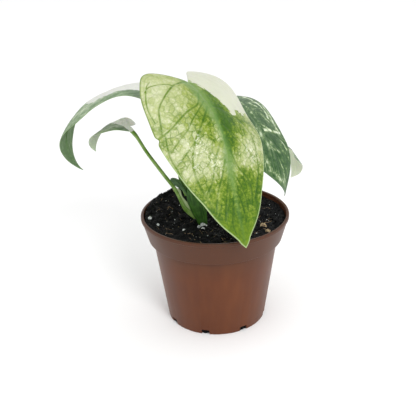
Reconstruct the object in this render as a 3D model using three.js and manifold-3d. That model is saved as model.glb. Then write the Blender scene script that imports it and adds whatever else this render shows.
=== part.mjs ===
// A young potted aroid with mint variegated, heart-shaped leaves, in a round plastic nursery pot.
// Units are millimetres and +Z is up. The origin is the centre of the pot's foot.
// From the front, which faces -Y, the largest leaf hangs over the rim, two leaves reach left
// and two hang behind on the right. All five grow from one short stem wrapped in leaf sheaths.

import * as THREE from "three";
import { mergeVertices } from "three/addons/utils/BufferGeometryUtils.js";
import Module from "manifold-3d";

const wasm = await Module();
wasm.setup();

// Driving dimensions

const CLEAR = 0.35; // gap kept where two pieces touch
const PIT_CLEAR = 0.55; // the same round a grain, whose sides slope
const TURNS = 64; // steps round the pot and the soil

const POT = {
  height: 91.2,
  rimRadius: 60,
  wall: 1.2,
  floor: 1.4,
  footRadius: 40.6,
  bodyTopRadius: 50.8,
  bodyTopZ: 70,
  collarFootRadius: 54.5,
  collarFootZ: 71.3,
  collarTopRadius: 59.2,
  lipFootZ: 88.2,
  lipWidth: 2.4,
  slotCount: 8,
  slotWidth: 6.5,
  slotHeight: 3.3,
  slotFirstAngle: -14, // degrees from the front towards +X
};

const SOIL = {
  level: 87,
  edgeLevel: 87.5,
  edgeRadius: 56.7,
  heapHeight: 6.5, // the soil is heaped against the left of the back wall
  heapAngle: 140,
  heapSpread: 38,
  lump: 1.0,
};

// The stem's cross-sections from its foot in the soil to its top: height, centre and half widths
const STEM = [
  { z: 50, x: -9, y: -12.2, wide: 2.2, deep: 2.2 },
  { z: 56, x: -9, y: -12.2, wide: 4.0, deep: 4.0 },
  { z: 74, x: -9.4, y: -12, wide: 4.0, deep: 4.2 },
  { z: 87, x: -10.2, y: -11.6, wide: 4.0, deep: 4.4 },
  { z: 94, x: -12.2, y: -11.2, wide: 5.6, deep: 4.9 },
  { z: 103, x: -14.8, y: -10.6, wide: 7.6, deep: 5.4 },
  { z: 112, x: -17.2, y: -9.8, wide: 7.2, deep: 5.4 },
  { z: 119, x: -18.8, y: -9, wide: 6.2, deep: 5.0 },
  { z: 124, x: -19.6, y: -8.6, wide: 4.8, deep: 4.0 },
  { z: 127, x: -19.9, y: -8.4, wide: 2.6, deep: 2.2 },
];
const STEM_SIDES = 16;

// A half leaf's outline, as shares of the midrib's length and of the half width.
// It starts where the stalk joins, runs round the basal lobe and ends at the tip.
const HEART = [
  [0, 0], [-0.045, 0.12], [-0.1, 0.3], [-0.135, 0.52], [-0.115, 0.74], [-0.03, 0.91], [0.1, 0.99],
  [0.25, 0.985], [0.42, 0.88], [0.58, 0.7], [0.72, 0.49], [0.84, 0.28], [0.92, 0.13], [0.965, 0.055],
  [1, 0],
];

// Each leaf: where its stalk joins, its length and half width, and how its midrib bends.
// Heading, pitch and roll are degrees at six even steps, from a quarter length behind the joint
// to the tip. Heading 0 is +X and 90 is +Y. Fold is how steeply each half rises from the midrib
// and curl how much more it turns by its edge, at the lobe, near the middle and at the tip.
// The left half is the one on the left of someone who looks along the midrib to the tip.
// A stalk is a list of points from inside the stem up to the joint.
const LEAVES = [
  {
    name: "front",
    joint: [-17.8, -18.4, 203.2],
    length: 132.5,
    halfWidth: 52.4,
    heading: [-26, -40, -52, -61, -61, -59],
    pitch: [13, -23, -47, -71, -67, -70],
    roll: [-13, -5, -6, -3, -1, -6],
    fold: { left: [3, -4, 1], right: [12, 1, 5] },
    curl: { left: [-2, -36, -21], right: [-26, -32, -20] },
    wave: { height: 0.7, count: 2.3, start: 0.1 },
    blunt: 0.3,
    steps: 30,
    rib: 1.5,
    stalk: [[-18, -10, 112], [-17.6, -11, 126], [-16.5, -10.5, 145], [-16.5, -9.5, 170],
      [-18, -12.5, 192]],
    stalkRadius: 1.9,
    colour: 0xa9bd6a,
  },
  {
    name: "left",
    joint: [-54.3, 1.4, 192.3],
    length: 109,
    halfWidth: 40.7,
    heading: [160, 169, 177, 182, 179, 185],
    pitch: [40, 10, -21, -42, -90, -140],
    roll: [0, 12, 10, 8, 9, 1],
    fold: { left: [6, -1, -1], right: [10, 6, 5] },
    curl: { left: [-4, -18, -18], right: [-1, -9, -17] },
    wave: { height: 0.6, count: 2, start: 0.4 },
    blunt: 0.1,
    steps: 28,
    rib: 1.3,
    stalk: [[-20.5, -7.5, 110], [-25.2, -6.2, 122], [-29.6, -4, 136], [-36, -2, 154.5], [-45, 0, 174],
      [-52.5, 1, 187]],
    stalkRadius: 1.6,
    colour: 0xc3cfa4,
  },
  {
    name: "small_left",
    joint: [-64.2, -1.7, 165.5],
    length: 43,
    halfWidth: 20.6,
    heading: [192, 189, 185, 177, 171, 174],
    pitch: [36, 19, -4, -29, -69, -115],
    roll: [9, 5, 12, 9, 13, 12],
    fold: { left: [7, 2, 4], right: [11, 7, 5] },
    curl: { left: [-6, -16, -16], right: [0, -8, -14] },
    wave: { height: 0.3, count: 1.6, start: 0.2 },
    blunt: 0.2,
    steps: 18,
    rib: 0.9,
    stalk: [[-15, -10.5, 92], [-22.6, -9.6, 98.8], [-26.8, -7.8, 105.5], [-31, -5.6, 113.6],
      [-39.4, -4, 125.4], [-52.4, -2.4, 144.6], [-60, -1.8, 158]],
    stalkRadius: 1.4,
    colour: 0x9db190,
  },
  {
    name: "right",
    joint: [15.1, 47.4, 168.8],
    length: 97.3,
    halfWidth: 38.5,
    heading: [-8, -12, -15, -19, -24, -21],
    pitch: [8, -21, -49, -60, -69, -97],
    roll: [-13, -5, 2, 3, 6, -8],
    fold: { left: [4, 7, 6], right: [3, -4, 1] },
    curl: { left: [-18, -12, -20], right: [-20, -28, -27] },
    wave: { height: 0.6, count: 2.1, start: 0.7 },
    blunt: 0.1,
    steps: 26,
    rib: 1.3,
    stalk: [[-16, -7.5, 112], [-13, -2.5, 125], [-6, 10, 140], [3, 28, 152.5], [10.5, 42, 161.5]],
    stalkRadius: 1.5,
    colour: 0x5d8157,
  },
  {
    name: "back_right",
    joint: [49.8, 80.7, 120.3],
    length: 54,
    halfWidth: 24.8,
    heading: [28, 24, 14, 3, 10, 13],
    pitch: [34, 6, -23, -54, -93, -137],
    roll: [-12, -15, -15, -7, -14, -15],
    fold: { left: [3, 3, 3], right: [4, 0, 4] },
    curl: { left: [-15, -15, -15], right: [-13, -20, -17] },
    wave: { height: 0.3, count: 1.7, start: 0.5 },
    blunt: 0.2,
    steps: 18,
    rib: 1.0,
    stalk: [[-12, -9, 100], [-5, -2, 107], [8, 16, 113.5], [26, 44, 117], [40, 66, 115.5]],
    stalkRadius: 1.3,
    colour: 0x93aa86,
  },
];
const BLADE = 0.7; // thickness of a leaf's blade
const ACROSS = [0, 0.06, 0.2, 0.4, 0.6, 0.8, 1]; // rows of points from the midrib to the edge
const SHEATH = 16; // length of the widened foot of a stalk
const STALK_SIDES = 8;

// The free tip of an outer sheath, which stands off the stem on the left
const SHEATH_TIP = {
  route: [[-20.5, -11, 110], [-24.4, -11.4, 116], [-28.4, -11, 120.6], [-31.8, -10.5, 123.3],
    [-34.2, -10.2, 124.2]],
  wide: [1.6, 2.0, 3.0, 3.2, 1.3],
  thick: [1.2, 1.3, 1.6, 1.5, 0.7],
};

// Perlite grains and bark chips that lie half sunk in the soil: place, radius and flatness
const GRAINS = [
  { name: "perlite_1", x: -9.7, y: -19.6, radius: 2.7, flat: 0.8, seed: 3, colour: 0xd9dcd6 },
  { name: "perlite_2", x: -52.5, y: -6.5, radius: 1.6, flat: 0.8, seed: 5, colour: 0xd9dcd6 },
  { name: "perlite_3", x: -45.5, y: -15.5, radius: 1.3, flat: 0.8, seed: 7, colour: 0xd9dcd6 },
  { name: "perlite_4", x: -24.6, y: -26.9, radius: 1.2, flat: 0.9, seed: 11, colour: 0xd9dcd6 },
  { name: "perlite_5", x: 31.8, y: -11.4, radius: 1.4, flat: 0.8, seed: 13, colour: 0xd9dcd6 },
  { name: "bark_chip_1", x: 37.5, y: -22.9, radius: 3.0, flat: 0.55, seed: 17, colour: 0xa68f73 },
  { name: "bark_chip_2", x: 40.5, y: -32.5, radius: 2.4, flat: 0.55, seed: 19, colour: 0xa68f73 },
  { name: "bark_chip_3", x: -33, y: 41, radius: 2.8, flat: 0.5, seed: 23, colour: 0x8d7458 },
];

// Small helpers

const degrees = Math.PI / 180;

function smoothstep(low, high, value) {
  const t = Math.min(Math.max((value - low) / (high - low), 0), 1);
  return t * t * (3 - 2 * t);
}

// A smooth curve through evenly spaced keys, with the share t running from 0 to 1
function keyed(keys, t) {
  const last = keys.length - 1;
  const place = Math.min(Math.max(t, 0), 1) * last;
  const i = Math.min(Math.floor(place), last - 1);
  const f = place - i;
  const b = keys[i];
  const c = keys[i + 1];
  const a = i > 0 ? keys[i - 1] : 2 * b - c;
  const d = i + 2 <= last ? keys[i + 2] : 2 * c - b;
  return b + 0.5 * f * (c - a + f * (2 * a - 5 * b + 4 * c - d + f * (3 * (b - c) + d - a)));
}

// A repeatable stream of numbers from 0 to 1
function randomStream(seed) {
  let state = seed * 7919 + 17;
  return () => {
    state = (state * 16807) % 2147483647;
    return state / 2147483647;
  };
}

function welded(geometry) {
  geometry.deleteAttribute("normal");
  geometry.deleteAttribute("uv");
  return mergeVertices(geometry, 1e-4);
}

function toSolid(geometry) {
  const mesh = welded(geometry);
  return new wasm.Manifold(
    new wasm.Mesh({
      numProp: 3,
      vertProperties: new Float32Array(mesh.attributes.position.array),
      triVerts: new Uint32Array(mesh.index.array),
    }),
  );
}

function toGeometry(solid) {
  const mesh = solid.getMesh();
  const geometry = new THREE.BufferGeometry();
  geometry.setAttribute("position", new THREE.BufferAttribute(mesh.vertProperties, 3));
  geometry.setIndex(new THREE.BufferAttribute(mesh.triVerts, 1));
  return geometry;
}

// A geometry from a list of points and a list of triangles, without the triangles that have
// no area because two of their corners fall on one point
function fromTriangles(points, triangles) {
  const geometry = new THREE.BufferGeometry();
  geometry.setAttribute("position", new THREE.Float32BufferAttribute(points.flatMap((p) => p.toArray()), 3));
  geometry.setIndex(triangles.flat());
  const mesh = welded(geometry);
  const index = mesh.index.array;
  const kept = [];
  for (let i = 0; i < index.length; i += 3) {
    const [a, b, c] = index.slice(i, i + 3);
    if (a !== b && b !== c && a !== c) kept.push(a, b, c);
  }
  mesh.setIndex(kept);
  return mesh;
}

// A solid skin over rings of equal counts, closed by a fan on the first and on the last ring
function loft(rings) {
  const sides = rings[0].length;
  const points = rings.flat();
  const triangles = [];
  for (let r = 0; r + 1 < rings.length; r++) {
    for (let s = 0; s < sides; s++) {
      const next = (s + 1) % sides;
      const a = r * sides + s;
      const b = r * sides + next;
      triangles.push([a, b, b + sides], [a, b + sides, a + sides]);
    }
  }
  for (const ring of [0, rings.length - 1]) {
    const centre = new THREE.Vector3();
    rings[ring].forEach((p) => centre.addScaledVector(p, 1 / sides));
    points.push(centre);
    for (let s = 0; s < sides; s++) {
      const a = ring * sides + s;
      const b = ring * sides + ((s + 1) % sides);
      triangles.push(ring === 0 ? [b, a, points.length - 1] : [a, b, points.length - 1]);
    }
  }
  return fromTriangles(points, triangles);
}

const object = new THREE.Group();

function place(name, geometry, colour, roughness) {
  const material = new THREE.MeshStandardMaterial({ color: colour, roughness, metalness: 0 });
  const mesh = new THREE.Mesh(geometry, material);
  mesh.name = name;
  object.add(mesh);
}

// The pot: one moulding with a tapered wall, a stepped collar, a beaded lip and drain slots

const SHELF_Z = POT.bodyTopZ + 0.8 * POT.wall; // the inner edge of the step inside the collar

function turned(profile) {
  const lathe = new THREE.LatheGeometry(profile.map(([r, z]) => new THREE.Vector2(r, z)), TURNS);
  return lathe.rotateX(Math.PI / 2);
}

// The radius of the wall's inner face at a height
function innerRadius(z) {
  const p = POT;
  const [lowZ, lowR, highZ, highR] =
    z < p.bodyTopZ + p.wall
      ? [0, p.footRadius, p.bodyTopZ, p.bodyTopRadius]
      : [p.collarFootZ, p.collarFootRadius, p.lipFootZ, p.collarTopRadius];
  return lowR + ((z - lowZ) / (highZ - lowZ)) * (highR - lowR) - p.wall;
}

function drainSlot(angle) {
  const half = POT.slotWidth / 2;
  const round = 0.8;
  const outline = new THREE.Shape();
  outline.moveTo(-half, -1);
  outline.lineTo(half, -1);
  outline.lineTo(half, POT.slotHeight - round);
  outline.lineTo(half - round, POT.slotHeight);
  outline.lineTo(-half + round, POT.slotHeight);
  outline.lineTo(-half, POT.slotHeight - round);
  const slot = new THREE.ExtrudeGeometry(outline, { depth: 14, bevelEnabled: false });
  slot.rotateX(Math.PI / 2); // the outline now stands upright and the slot runs towards -Y
  slot.translate(0, -(POT.footRadius - 8), 0);
  return slot.rotateZ(angle * degrees);
}

function makePot() {
  const p = POT;
  const lipInner = p.rimRadius - p.lipWidth;
  let pot = toSolid(
    turned([
      [0, 0],
      [p.footRadius - 0.6, 0],
      [p.footRadius, 0.6],
      [p.bodyTopRadius, p.bodyTopZ],
      [p.collarFootRadius - 0.4, p.collarFootZ - 0.3],
      [p.collarFootRadius, p.collarFootZ],
      [p.collarTopRadius, p.lipFootZ],
      [p.rimRadius - 0.2, p.lipFootZ + 0.3],
      [p.rimRadius, p.lipFootZ + 0.9],
      [p.rimRadius, p.height - 0.6],
      [p.rimRadius - 0.6, p.height],
      [lipInner + 0.5, p.height],
      [lipInner, p.height - 0.5],
      [innerRadius(p.lipFootZ), p.lipFootZ],
      [innerRadius(p.collarFootZ + p.wall), p.collarFootZ + p.wall],
      [innerRadius(p.bodyTopZ), SHELF_Z],
      [innerRadius(p.floor), p.floor],
      [0, p.floor],
    ]),
  );
  for (let k = 0; k < p.slotCount; k++) {
    pot = pot.subtract(toSolid(drainSlot(p.slotFirstAngle + (360 / p.slotCount) * k)));
  }
  return pot;
}

// The stem: one short upright stem, ribbed lengthwise by the leaf sheaths that wrap it

function makeStem(extra) {
  const keys = (name) => STEM.map((station) => station[name]);
  const steps = 2 * (STEM.length - 1);
  const rings = [];
  for (let k = 0; k <= steps; k++) {
    const t = k / steps;
    const ring = [];
    for (let s = 0; s < STEM_SIDES; s++) {
      const a = (2 * Math.PI * s) / STEM_SIDES;
      const ridge = 1 + 0.05 * smoothstep(0.3, 0.5, t) * Math.cos(4 * a + 3 * t);
      const wide = keyed(keys("wide"), t) * ridge + extra;
      const deep = keyed(keys("deep"), t) * ridge + extra;
      const end = k === 0 ? -extra : k === steps ? extra : 0;
      ring.push(
        new THREE.Vector3(
          keyed(keys("x"), t) + wide * Math.cos(a),
          keyed(keys("y"), t) + deep * Math.sin(a),
          keyed(keys("z"), t) + end,
        ),
      );
    }
    rings.push(ring);
  }
  return toSolid(loft(rings));
}

// The soil: a plug of peat with a lumpy top, heaped against the left of the back wall

function soilTop(x, y) {
  const r = Math.hypot(x, y);
  const off = Math.atan2(y, x) / degrees - SOIL.heapAngle;
  const turn = Math.abs(((off + 540) % 360) - 180);
  const heap = SOIL.heapHeight * Math.exp(-((turn / SOIL.heapSpread) ** 2)) * smoothstep(22, 48, r);
  const coarse = Math.sin(0.17 * x + 1.7) * Math.sin(0.15 * y + 0.4);
  const medium = Math.sin(0.29 * x + 0.13 * y + 0.2) * Math.sin(0.34 * y - 0.1 * x + 2.1);
  const fine = Math.sin(0.55 * x + 0.2 * y + 2.9) * Math.sin(0.6 * y - 0.25 * x + 0.9);
  const calm = 1 - 0.55 * smoothstep(44, 56, r) * (1 - heap / SOIL.heapHeight);
  const lumps = SOIL.lump * calm * (0.8 * coarse + 0.7 * medium + 0.5 * fine);
  return SOIL.level + (SOIL.edgeLevel - SOIL.level) * smoothstep(30, 56, r) + heap + lumps;
}

function makeSoil() {
  const bottom = POT.floor + CLEAR;
  const shoulder = SOIL.level - 5;
  const topRings = [0, 5, 11, 17, 23, 29, 35, 41, 47, 52.5, SOIL.edgeRadius];
  const profile = [
    [0, bottom],
    [innerRadius(bottom) - CLEAR, bottom],
    [innerRadius(POT.bodyTopZ) - CLEAR, SHELF_Z + CLEAR],
    [innerRadius(POT.collarFootZ + POT.wall) - CLEAR, POT.collarFootZ + POT.wall + CLEAR],
    [innerRadius(shoulder) - CLEAR, shoulder],
    ...topRings.reverse().map((r) => [r, SOIL.level]),
  ];
  const geometry = turned(profile);
  const position = geometry.attributes.position;
  for (let i = 0; i < position.count; i++) {
    if (position.getZ(i) < SOIL.level - 0.01) continue;
    position.setZ(i, soilTop(position.getX(i), position.getY(i)));
  }
  return toSolid(geometry);
}

// A grain or chip: a lumpy pebble, half sunk in the soil
function makeGrain(grain, extra) {
  const shape = welded(new THREE.IcosahedronGeometry(grain.radius, 1));
  const random = randomStream(grain.seed);
  const position = shape.attributes.position;
  const point = new THREE.Vector3();
  for (let i = 0; i < position.count; i++) {
    point.fromBufferAttribute(position, i);
    point.multiplyScalar(0.8 + 0.4 * random());
    point.z *= grain.flat;
    point.setLength(point.length() + extra);
    position.setXYZ(i, point.x, point.y, point.z);
  }
  const lift = 0.25 * grain.radius * grain.flat;
  return shape.translate(grain.x, grain.y, soilTop(grain.x, grain.y) + lift);
}

// Leaves

const RIB_STEPS = 100;
const RIB_START = -0.25;

// The midrib's direction, the leaf's left and its upper side at the share x of its length
function ribFrame(leaf, x) {
  const t = (x - RIB_START) / (1 - RIB_START);
  const heading = keyed(leaf.heading, t) * degrees;
  const pitch = keyed(leaf.pitch, t) * degrees;
  const roll = keyed(leaf.roll, t) * degrees;
  const ahead = new THREE.Vector3(
    Math.cos(pitch) * Math.cos(heading),
    Math.cos(pitch) * Math.sin(heading),
    Math.sin(pitch),
  );
  const left = new THREE.Vector3(-Math.sin(heading), Math.cos(heading), 0);
  const up = ahead.clone().cross(left);
  left.applyAxisAngle(ahead, roll);
  up.applyAxisAngle(ahead, roll);
  return { ahead, left, up };
}

// Points along the midrib, found by walking it in short steps from the joint both ways
function ribPoints(leaf) {
  const step = (1 - RIB_START) / RIB_STEPS;
  const points = [new THREE.Vector3()];
  for (let k = 0; k < RIB_STEPS; k++) {
    const middle = ribFrame(leaf, RIB_START + (k + 0.5) * step).ahead;
    points.push(points[k].clone().addScaledVector(middle, step * leaf.length));
  }
  const joint = points[Math.round(-RIB_START / step)].clone();
  return points.map((p) => p.sub(joint).add(new THREE.Vector3(...leaf.joint)));
}

// A point of the blade's middle surface. x is a share of the length and y runs from 0 on the
// midrib to 1 at the half width, and on the right half to -1.
function bladePoint(leaf, rib, x, y) {
  const side = y < 0 ? "right" : "left";
  const t = (x - RIB_START) / (1 - RIB_START);
  const fold = keyed(leaf.fold[side], t) * degrees;
  const curl = keyed(leaf.curl[side], t) * degrees || 1e-4;
  const v = Math.abs(y);
  const out = ((Math.sin(fold + curl * v) - Math.sin(fold)) / curl) * leaf.halfWidth;
  const turn = 2 * Math.PI * (leaf.wave.count * x + leaf.wave.start) + 1.3 * Math.sign(y);
  const wave = leaf.wave.height * v * v * Math.sin(turn);
  const rise = ((Math.cos(fold) - Math.cos(fold + curl * v)) / curl) * leaf.halfWidth + wave;
  const place = Math.min(Math.max(t, 0), 1) * RIB_STEPS;
  const i = Math.min(Math.floor(place), RIB_STEPS - 1);
  const { left, up } = ribFrame(leaf, x);
  return rib[i]
    .clone()
    .lerp(rib[i + 1], place - i)
    .addScaledVector(left, side === "left" ? out : -out)
    .addScaledVector(up, rise);
}

// The two shares x and y of a point at the step t along the outline, from the stalk's joint to
// the tip, and at the share f of the way from the midrib to the edge
function bladePlace(leaf, side, t, f) {
  const outX = keyed(HEART.map((p) => p[0]), t);
  const blunt = 1 + leaf.blunt * smoothstep(0.7, 0.95, outX);
  const outY = blunt * Math.max(keyed(HEART.map((p) => p[1]), t), 0);
  const foot = 0.03 * t + 0.97 * t ** 2.2;
  return [foot + (outX - foot) * f, side * outY * f];
}

function makeBlade(leaf) {
  const rib = ribPoints(leaf);
  const points = [];
  const triangles = [];
  const columns = [];
  for (let j = ACROSS.length - 1; j > 0; j--) columns.push([1, ACROSS[j]]);
  for (let j = 0; j < ACROSS.length; j++) columns.push([-1, ACROSS[j]]);
  for (let i = 0; i <= leaf.steps; i++) {
    for (const [side, f] of columns) {
      const [x, y] = bladePlace(leaf, side, i / leaf.steps, f);
      const centre = bladePoint(leaf, rib, x, y);
      const e = 0.004;
      const along = bladePoint(leaf, rib, x + e, y).sub(bladePoint(leaf, rib, x - e, y));
      const across = bladePoint(leaf, rib, x, y + e).sub(bladePoint(leaf, rib, x, y - e));
      const normal = along.cross(across).normalize();
      const ridge = f === 0 ? leaf.rib * (1 - 0.85 * Math.min(Math.max(x, 0), 1)) : 0;
      points.push(centre.clone().addScaledVector(normal, BLADE / 2));
      points.push(centre.clone().addScaledVector(normal, -BLADE / 2 - ridge));
    }
  }
  const width = columns.length;
  const top = (i, j) => 2 * (i * width + j);
  const quad = (a, b, c, d) => triangles.push([a, b, c], [a, c, d]);
  for (let i = 0; i < leaf.steps; i++) {
    for (let j = 0; j + 1 < width; j++) {
      const corners = [top(i, j), top(i, j + 1), top(i + 1, j + 1), top(i + 1, j)];
      const [a, b, c, d] = j < width / 2 - 1 ? corners : [corners[1], corners[2], corners[3], corners[0]];
      quad(a, b, c, d);
      triangles.push([c + 1, b + 1, a + 1], [d + 1, c + 1, a + 1]);
    }
    quad(top(i, 0), top(i + 1, 0), top(i + 1, 0) + 1, top(i, 0) + 1);
    quad(top(i + 1, width - 1), top(i, width - 1), top(i, width - 1) + 1, top(i + 1, width - 1) + 1);
  }
  return fromTriangles(points, triangles);
}

// A ring of a stalk or a sheath: an ellipse that faces along the route, wide from side to side
function routeRing(point, ahead, wide, thick, sides) {
  const across = new THREE.Vector3(0, -1, 0).cross(ahead).normalize();
  const deep = ahead.clone().cross(across);
  const ring = [];
  for (let s = 0; s < sides; s++) {
    const a = (2 * Math.PI * s) / sides;
    ring.push(
      point
        .clone()
        .addScaledVector(across, wide * Math.cos(a))
        .addScaledVector(deep, thick * Math.sin(a)),
    );
  }
  return ring;
}

// A leaf's stalk: a widened sheath at its foot, a slim shank, and a swollen joint whose end
// face lies parallel to the blade, just under the midrib
function makeStalk(leaf) {
  const { up } = ribFrame(leaf, 0);
  const under = BLADE / 2 + leaf.rib + 1.3 * CLEAR;
  const joint = new THREE.Vector3(...leaf.joint).addScaledVector(up, -under);
  const route = leaf.stalk.map((p) => new THREE.Vector3(...p));
  const curve = new THREE.CatmullRomCurve3([...route, joint], false, "centripetal");
  const total = curve.getLength();
  const steps = Math.round(total / 5);
  const rings = [];
  for (let k = 0; k <= steps; k++) {
    const t = k / steps;
    const ahead = curve.getTangentAt(t);
    const foot = 1 - smoothstep(6, 6 + SHEATH, t * total);
    const swell = smoothstep(total - 12, total - 5, t * total) * 0.25;
    const slim = leaf.stalkRadius * (1.12 - 0.2 * t + swell);
    const wide = slim * (1 + 0.9 * foot);
    const thick = slim * (1 + 0.25 * foot);
    const ring = routeRing(curve.getPointAt(t), ahead, wide, thick, STALK_SIDES);
    if (k === steps) {
      for (const p of ring) p.addScaledVector(ahead, joint.clone().sub(p).dot(up) / ahead.dot(up));
    }
    rings.push(ring);
  }
  return toSolid(loft(rings));
}

function makeSheathTip() {
  const curve = new THREE.CatmullRomCurve3(SHEATH_TIP.route.map((p) => new THREE.Vector3(...p)));
  const steps = 10;
  const rings = [];
  for (let k = 0; k <= steps; k++) {
    const t = k / steps;
    const wide = keyed(SHEATH_TIP.wide, t);
    rings.push(routeRing(curve.getPoint(t), curve.getTangent(t), wide, keyed(SHEATH_TIP.thick, t), 10));
  }
  return toSolid(loft(rings));
}

// The pieces, each in its place

place("pot", toGeometry(makePot()), 0x7a4a34, 0.45);

let soil = makeSoil().subtract(makeStem(CLEAR));
for (const grain of GRAINS) soil = soil.subtract(toSolid(makeGrain(grain, PIT_CLEAR)));
place("soil", toGeometry(soil), 0x1c1a18, 0.95);

place("stem", toGeometry(makeStem(0)), 0x35562b, 0.5);
const stemSpace = makeStem(CLEAR);
place("sheath_tip", toGeometry(makeSheathTip().subtract(stemSpace)), 0x4d6a4c, 0.5);

for (const leaf of LEAVES) {
  place(`stalk_${leaf.name}`, toGeometry(makeStalk(leaf).subtract(stemSpace)), 0x6f9440, 0.45);
  place(`leaf_${leaf.name}`, makeBlade(leaf), leaf.colour, 0.45);
}

for (const grain of GRAINS) place(grain.name, makeGrain(grain, 0), grain.colour, 0.9);

export default object;
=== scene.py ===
# A young potted aroid with mint variegated leaves, in a round plastic nursery pot.
# Sizes are written in millimetres and turned to metres by the factor MM. +Z is up, the origin is
# the centre of the pot's foot, and the front faces -Y.

import math

import bmesh
import bpy
import numpy as np
from mathutils import Matrix, Vector, noise


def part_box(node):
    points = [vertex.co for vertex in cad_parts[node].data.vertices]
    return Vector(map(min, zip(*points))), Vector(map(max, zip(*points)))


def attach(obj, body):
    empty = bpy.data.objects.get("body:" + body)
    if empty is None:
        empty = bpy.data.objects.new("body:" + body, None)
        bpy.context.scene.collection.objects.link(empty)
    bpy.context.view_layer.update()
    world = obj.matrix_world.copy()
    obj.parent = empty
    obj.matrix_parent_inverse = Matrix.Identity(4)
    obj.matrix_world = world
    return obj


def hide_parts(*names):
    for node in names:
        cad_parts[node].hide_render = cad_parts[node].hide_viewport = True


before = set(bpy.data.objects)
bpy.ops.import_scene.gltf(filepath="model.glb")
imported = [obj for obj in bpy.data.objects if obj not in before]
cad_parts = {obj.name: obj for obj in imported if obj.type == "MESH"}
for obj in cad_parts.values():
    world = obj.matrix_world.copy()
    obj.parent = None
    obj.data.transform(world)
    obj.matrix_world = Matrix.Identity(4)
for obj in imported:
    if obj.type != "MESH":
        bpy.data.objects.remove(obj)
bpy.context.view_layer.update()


# Pot
# One injection moulding in terracotta-brown polypropylene: a tapered wall, a step out to a
# collar, a beaded lip and eight drain slots cut through the foot.

MM = 0.001
POT_HEIGHT = 91.2
RIM_RADIUS = 60
WALL = 1.2
FLOOR_THICKNESS = 1.4
FOOT_RADIUS = 40.6
FOOT_BEVEL = 2.2
BODY_TOP = (50.8, 70)  # radius and height where the tapered body ends
COLLAR_FOOT = (54.5, 71.3)
COLLAR_TOP = (59.2, 88.2)
LIP_WIDTH = 2.4
SHELF_HEIGHT = BODY_TOP[1] + 0.8 * WALL
POT_TURNS = 288
SLOT_COUNT = 8
SLOT_WIDTH = 6.5
SLOT_HEIGHT = 4.2
SLOT_START = 14  # degrees from the front towards -X
SLOT_DEPTHS = (FOOT_RADIUS - 8, FOOT_RADIUS + 6)
SLOT_ROUND = 0.9

# Settings that many nodes share
TIMES = {"operation": "MULTIPLY"}
PLUS = {"operation": "ADD"}
COLOURS = {"data_type": "RGBA"}


def linear(code):
    """The linear colour of an sRGB hex value."""
    parts = [int(code[i : i + 2], 16) / 255 for i in (1, 3, 5)]
    return [c / 12.92 if c <= 0.04045 else ((c + 0.055) / 1.055) ** 2.4 for c in parts] + [1]


def fill(tree, node, inputs):
    """Sets a node's inputs to numbers, or links them to the outputs of other nodes."""
    for key, value in inputs.items():
        if isinstance(value, bpy.types.Node):
            value = next(output for output in value.outputs if output.enabled)
        if isinstance(value, bpy.types.NodeSocket):
            tree.links.new(value, node.inputs[key])
        else:
            node.inputs[key].default_value = value


def add(tree, kind, settings=None, inputs=None):
    """A new shader node with its settings, the stops of its colour ramp and its inputs."""
    node = tree.nodes.new("ShaderNode" + kind)
    for key, value in (settings or {}).items():
        if key != "stops":
            setattr(node, key, value)
            continue
        elements = node.color_ramp.elements
        while len(elements) < len(value):
            elements.new(0.5)
        for element, (position, code) in zip(elements, value):
            element.position = position
            element.color = linear(code)
    fill(tree, node, inputs or {})
    return node


def new_material(name):
    """An empty material, its node tree and its surface shader."""
    material = bpy.data.materials.new(name)
    material.use_nodes = True
    tree = material.node_tree
    tree.nodes.clear()
    shader = add(tree, "BsdfPrincipled")
    add(tree, "OutputMaterial", inputs={"Surface": shader})
    return material, tree, shader


def new_piece(name, points, faces, material, sharp=30):
    """An object made of points in millimetres and faces, smooth except where it bends sharply."""
    mesh = bpy.data.meshes.new(name)
    mesh.from_pydata((np.asarray(points, float) * MM).tolist(), [], [list(map(int, f)) for f in faces])
    mesh.validate()
    shape = bmesh.new()
    shape.from_mesh(mesh)
    bmesh.ops.recalc_face_normals(shape, faces=shape.faces)
    shape.to_mesh(mesh)
    shape.free()
    mesh.shade_smooth()
    mesh.set_sharp_from_angle(angle=math.radians(sharp))
    piece = bpy.data.objects.new(name, mesh)
    bpy.context.scene.collection.objects.link(piece)
    mesh.materials.append(material)
    return piece


def apply_modifiers(piece):
    """Bakes a piece's modifiers into its mesh."""
    depsgraph = bpy.context.evaluated_depsgraph_get()
    mesh = bpy.data.meshes.new_from_object(piece.evaluated_get(depsgraph))
    piece.modifiers.clear()
    piece.data = mesh


def inner_radius(z):
    """The radius of the pot wall's inner face at a height."""
    if z < BODY_TOP[1] + WALL:
        share = z / BODY_TOP[1]
        return FOOT_RADIUS + share * (BODY_TOP[0] - FOOT_RADIUS) - WALL
    share = (z - COLLAR_FOOT[1]) / (COLLAR_TOP[1] - COLLAR_FOOT[1])
    return COLLAR_FOOT[0] + share * (COLLAR_TOP[0] - COLLAR_FOOT[0]) - WALL


def filleted(corners, arc_steps=5):
    """A profile whose corners (radius, height, fillet) are rounded by short arcs."""
    line = []
    for k, (r, z, fillet) in enumerate(corners):
        corner = Vector((r, z))
        if fillet == 0:
            line.append(tuple(corner))
            continue
        back = (Vector(corners[k - 1][:2]) - corner).normalized()
        ahead = (Vector(corners[k + 1][:2]) - corner).normalized()
        half = back.angle(ahead) / 2
        reach = fillet / math.tan(half)
        centre = corner + (back + ahead).normalized() * (fillet / math.sin(half))
        first = corner + back * reach - centre
        last = corner + ahead * reach - centre
        for s in range(arc_steps + 1):
            line.append(tuple(centre + first.slerp(last, s / arc_steps) * fillet))
    return line


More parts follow.
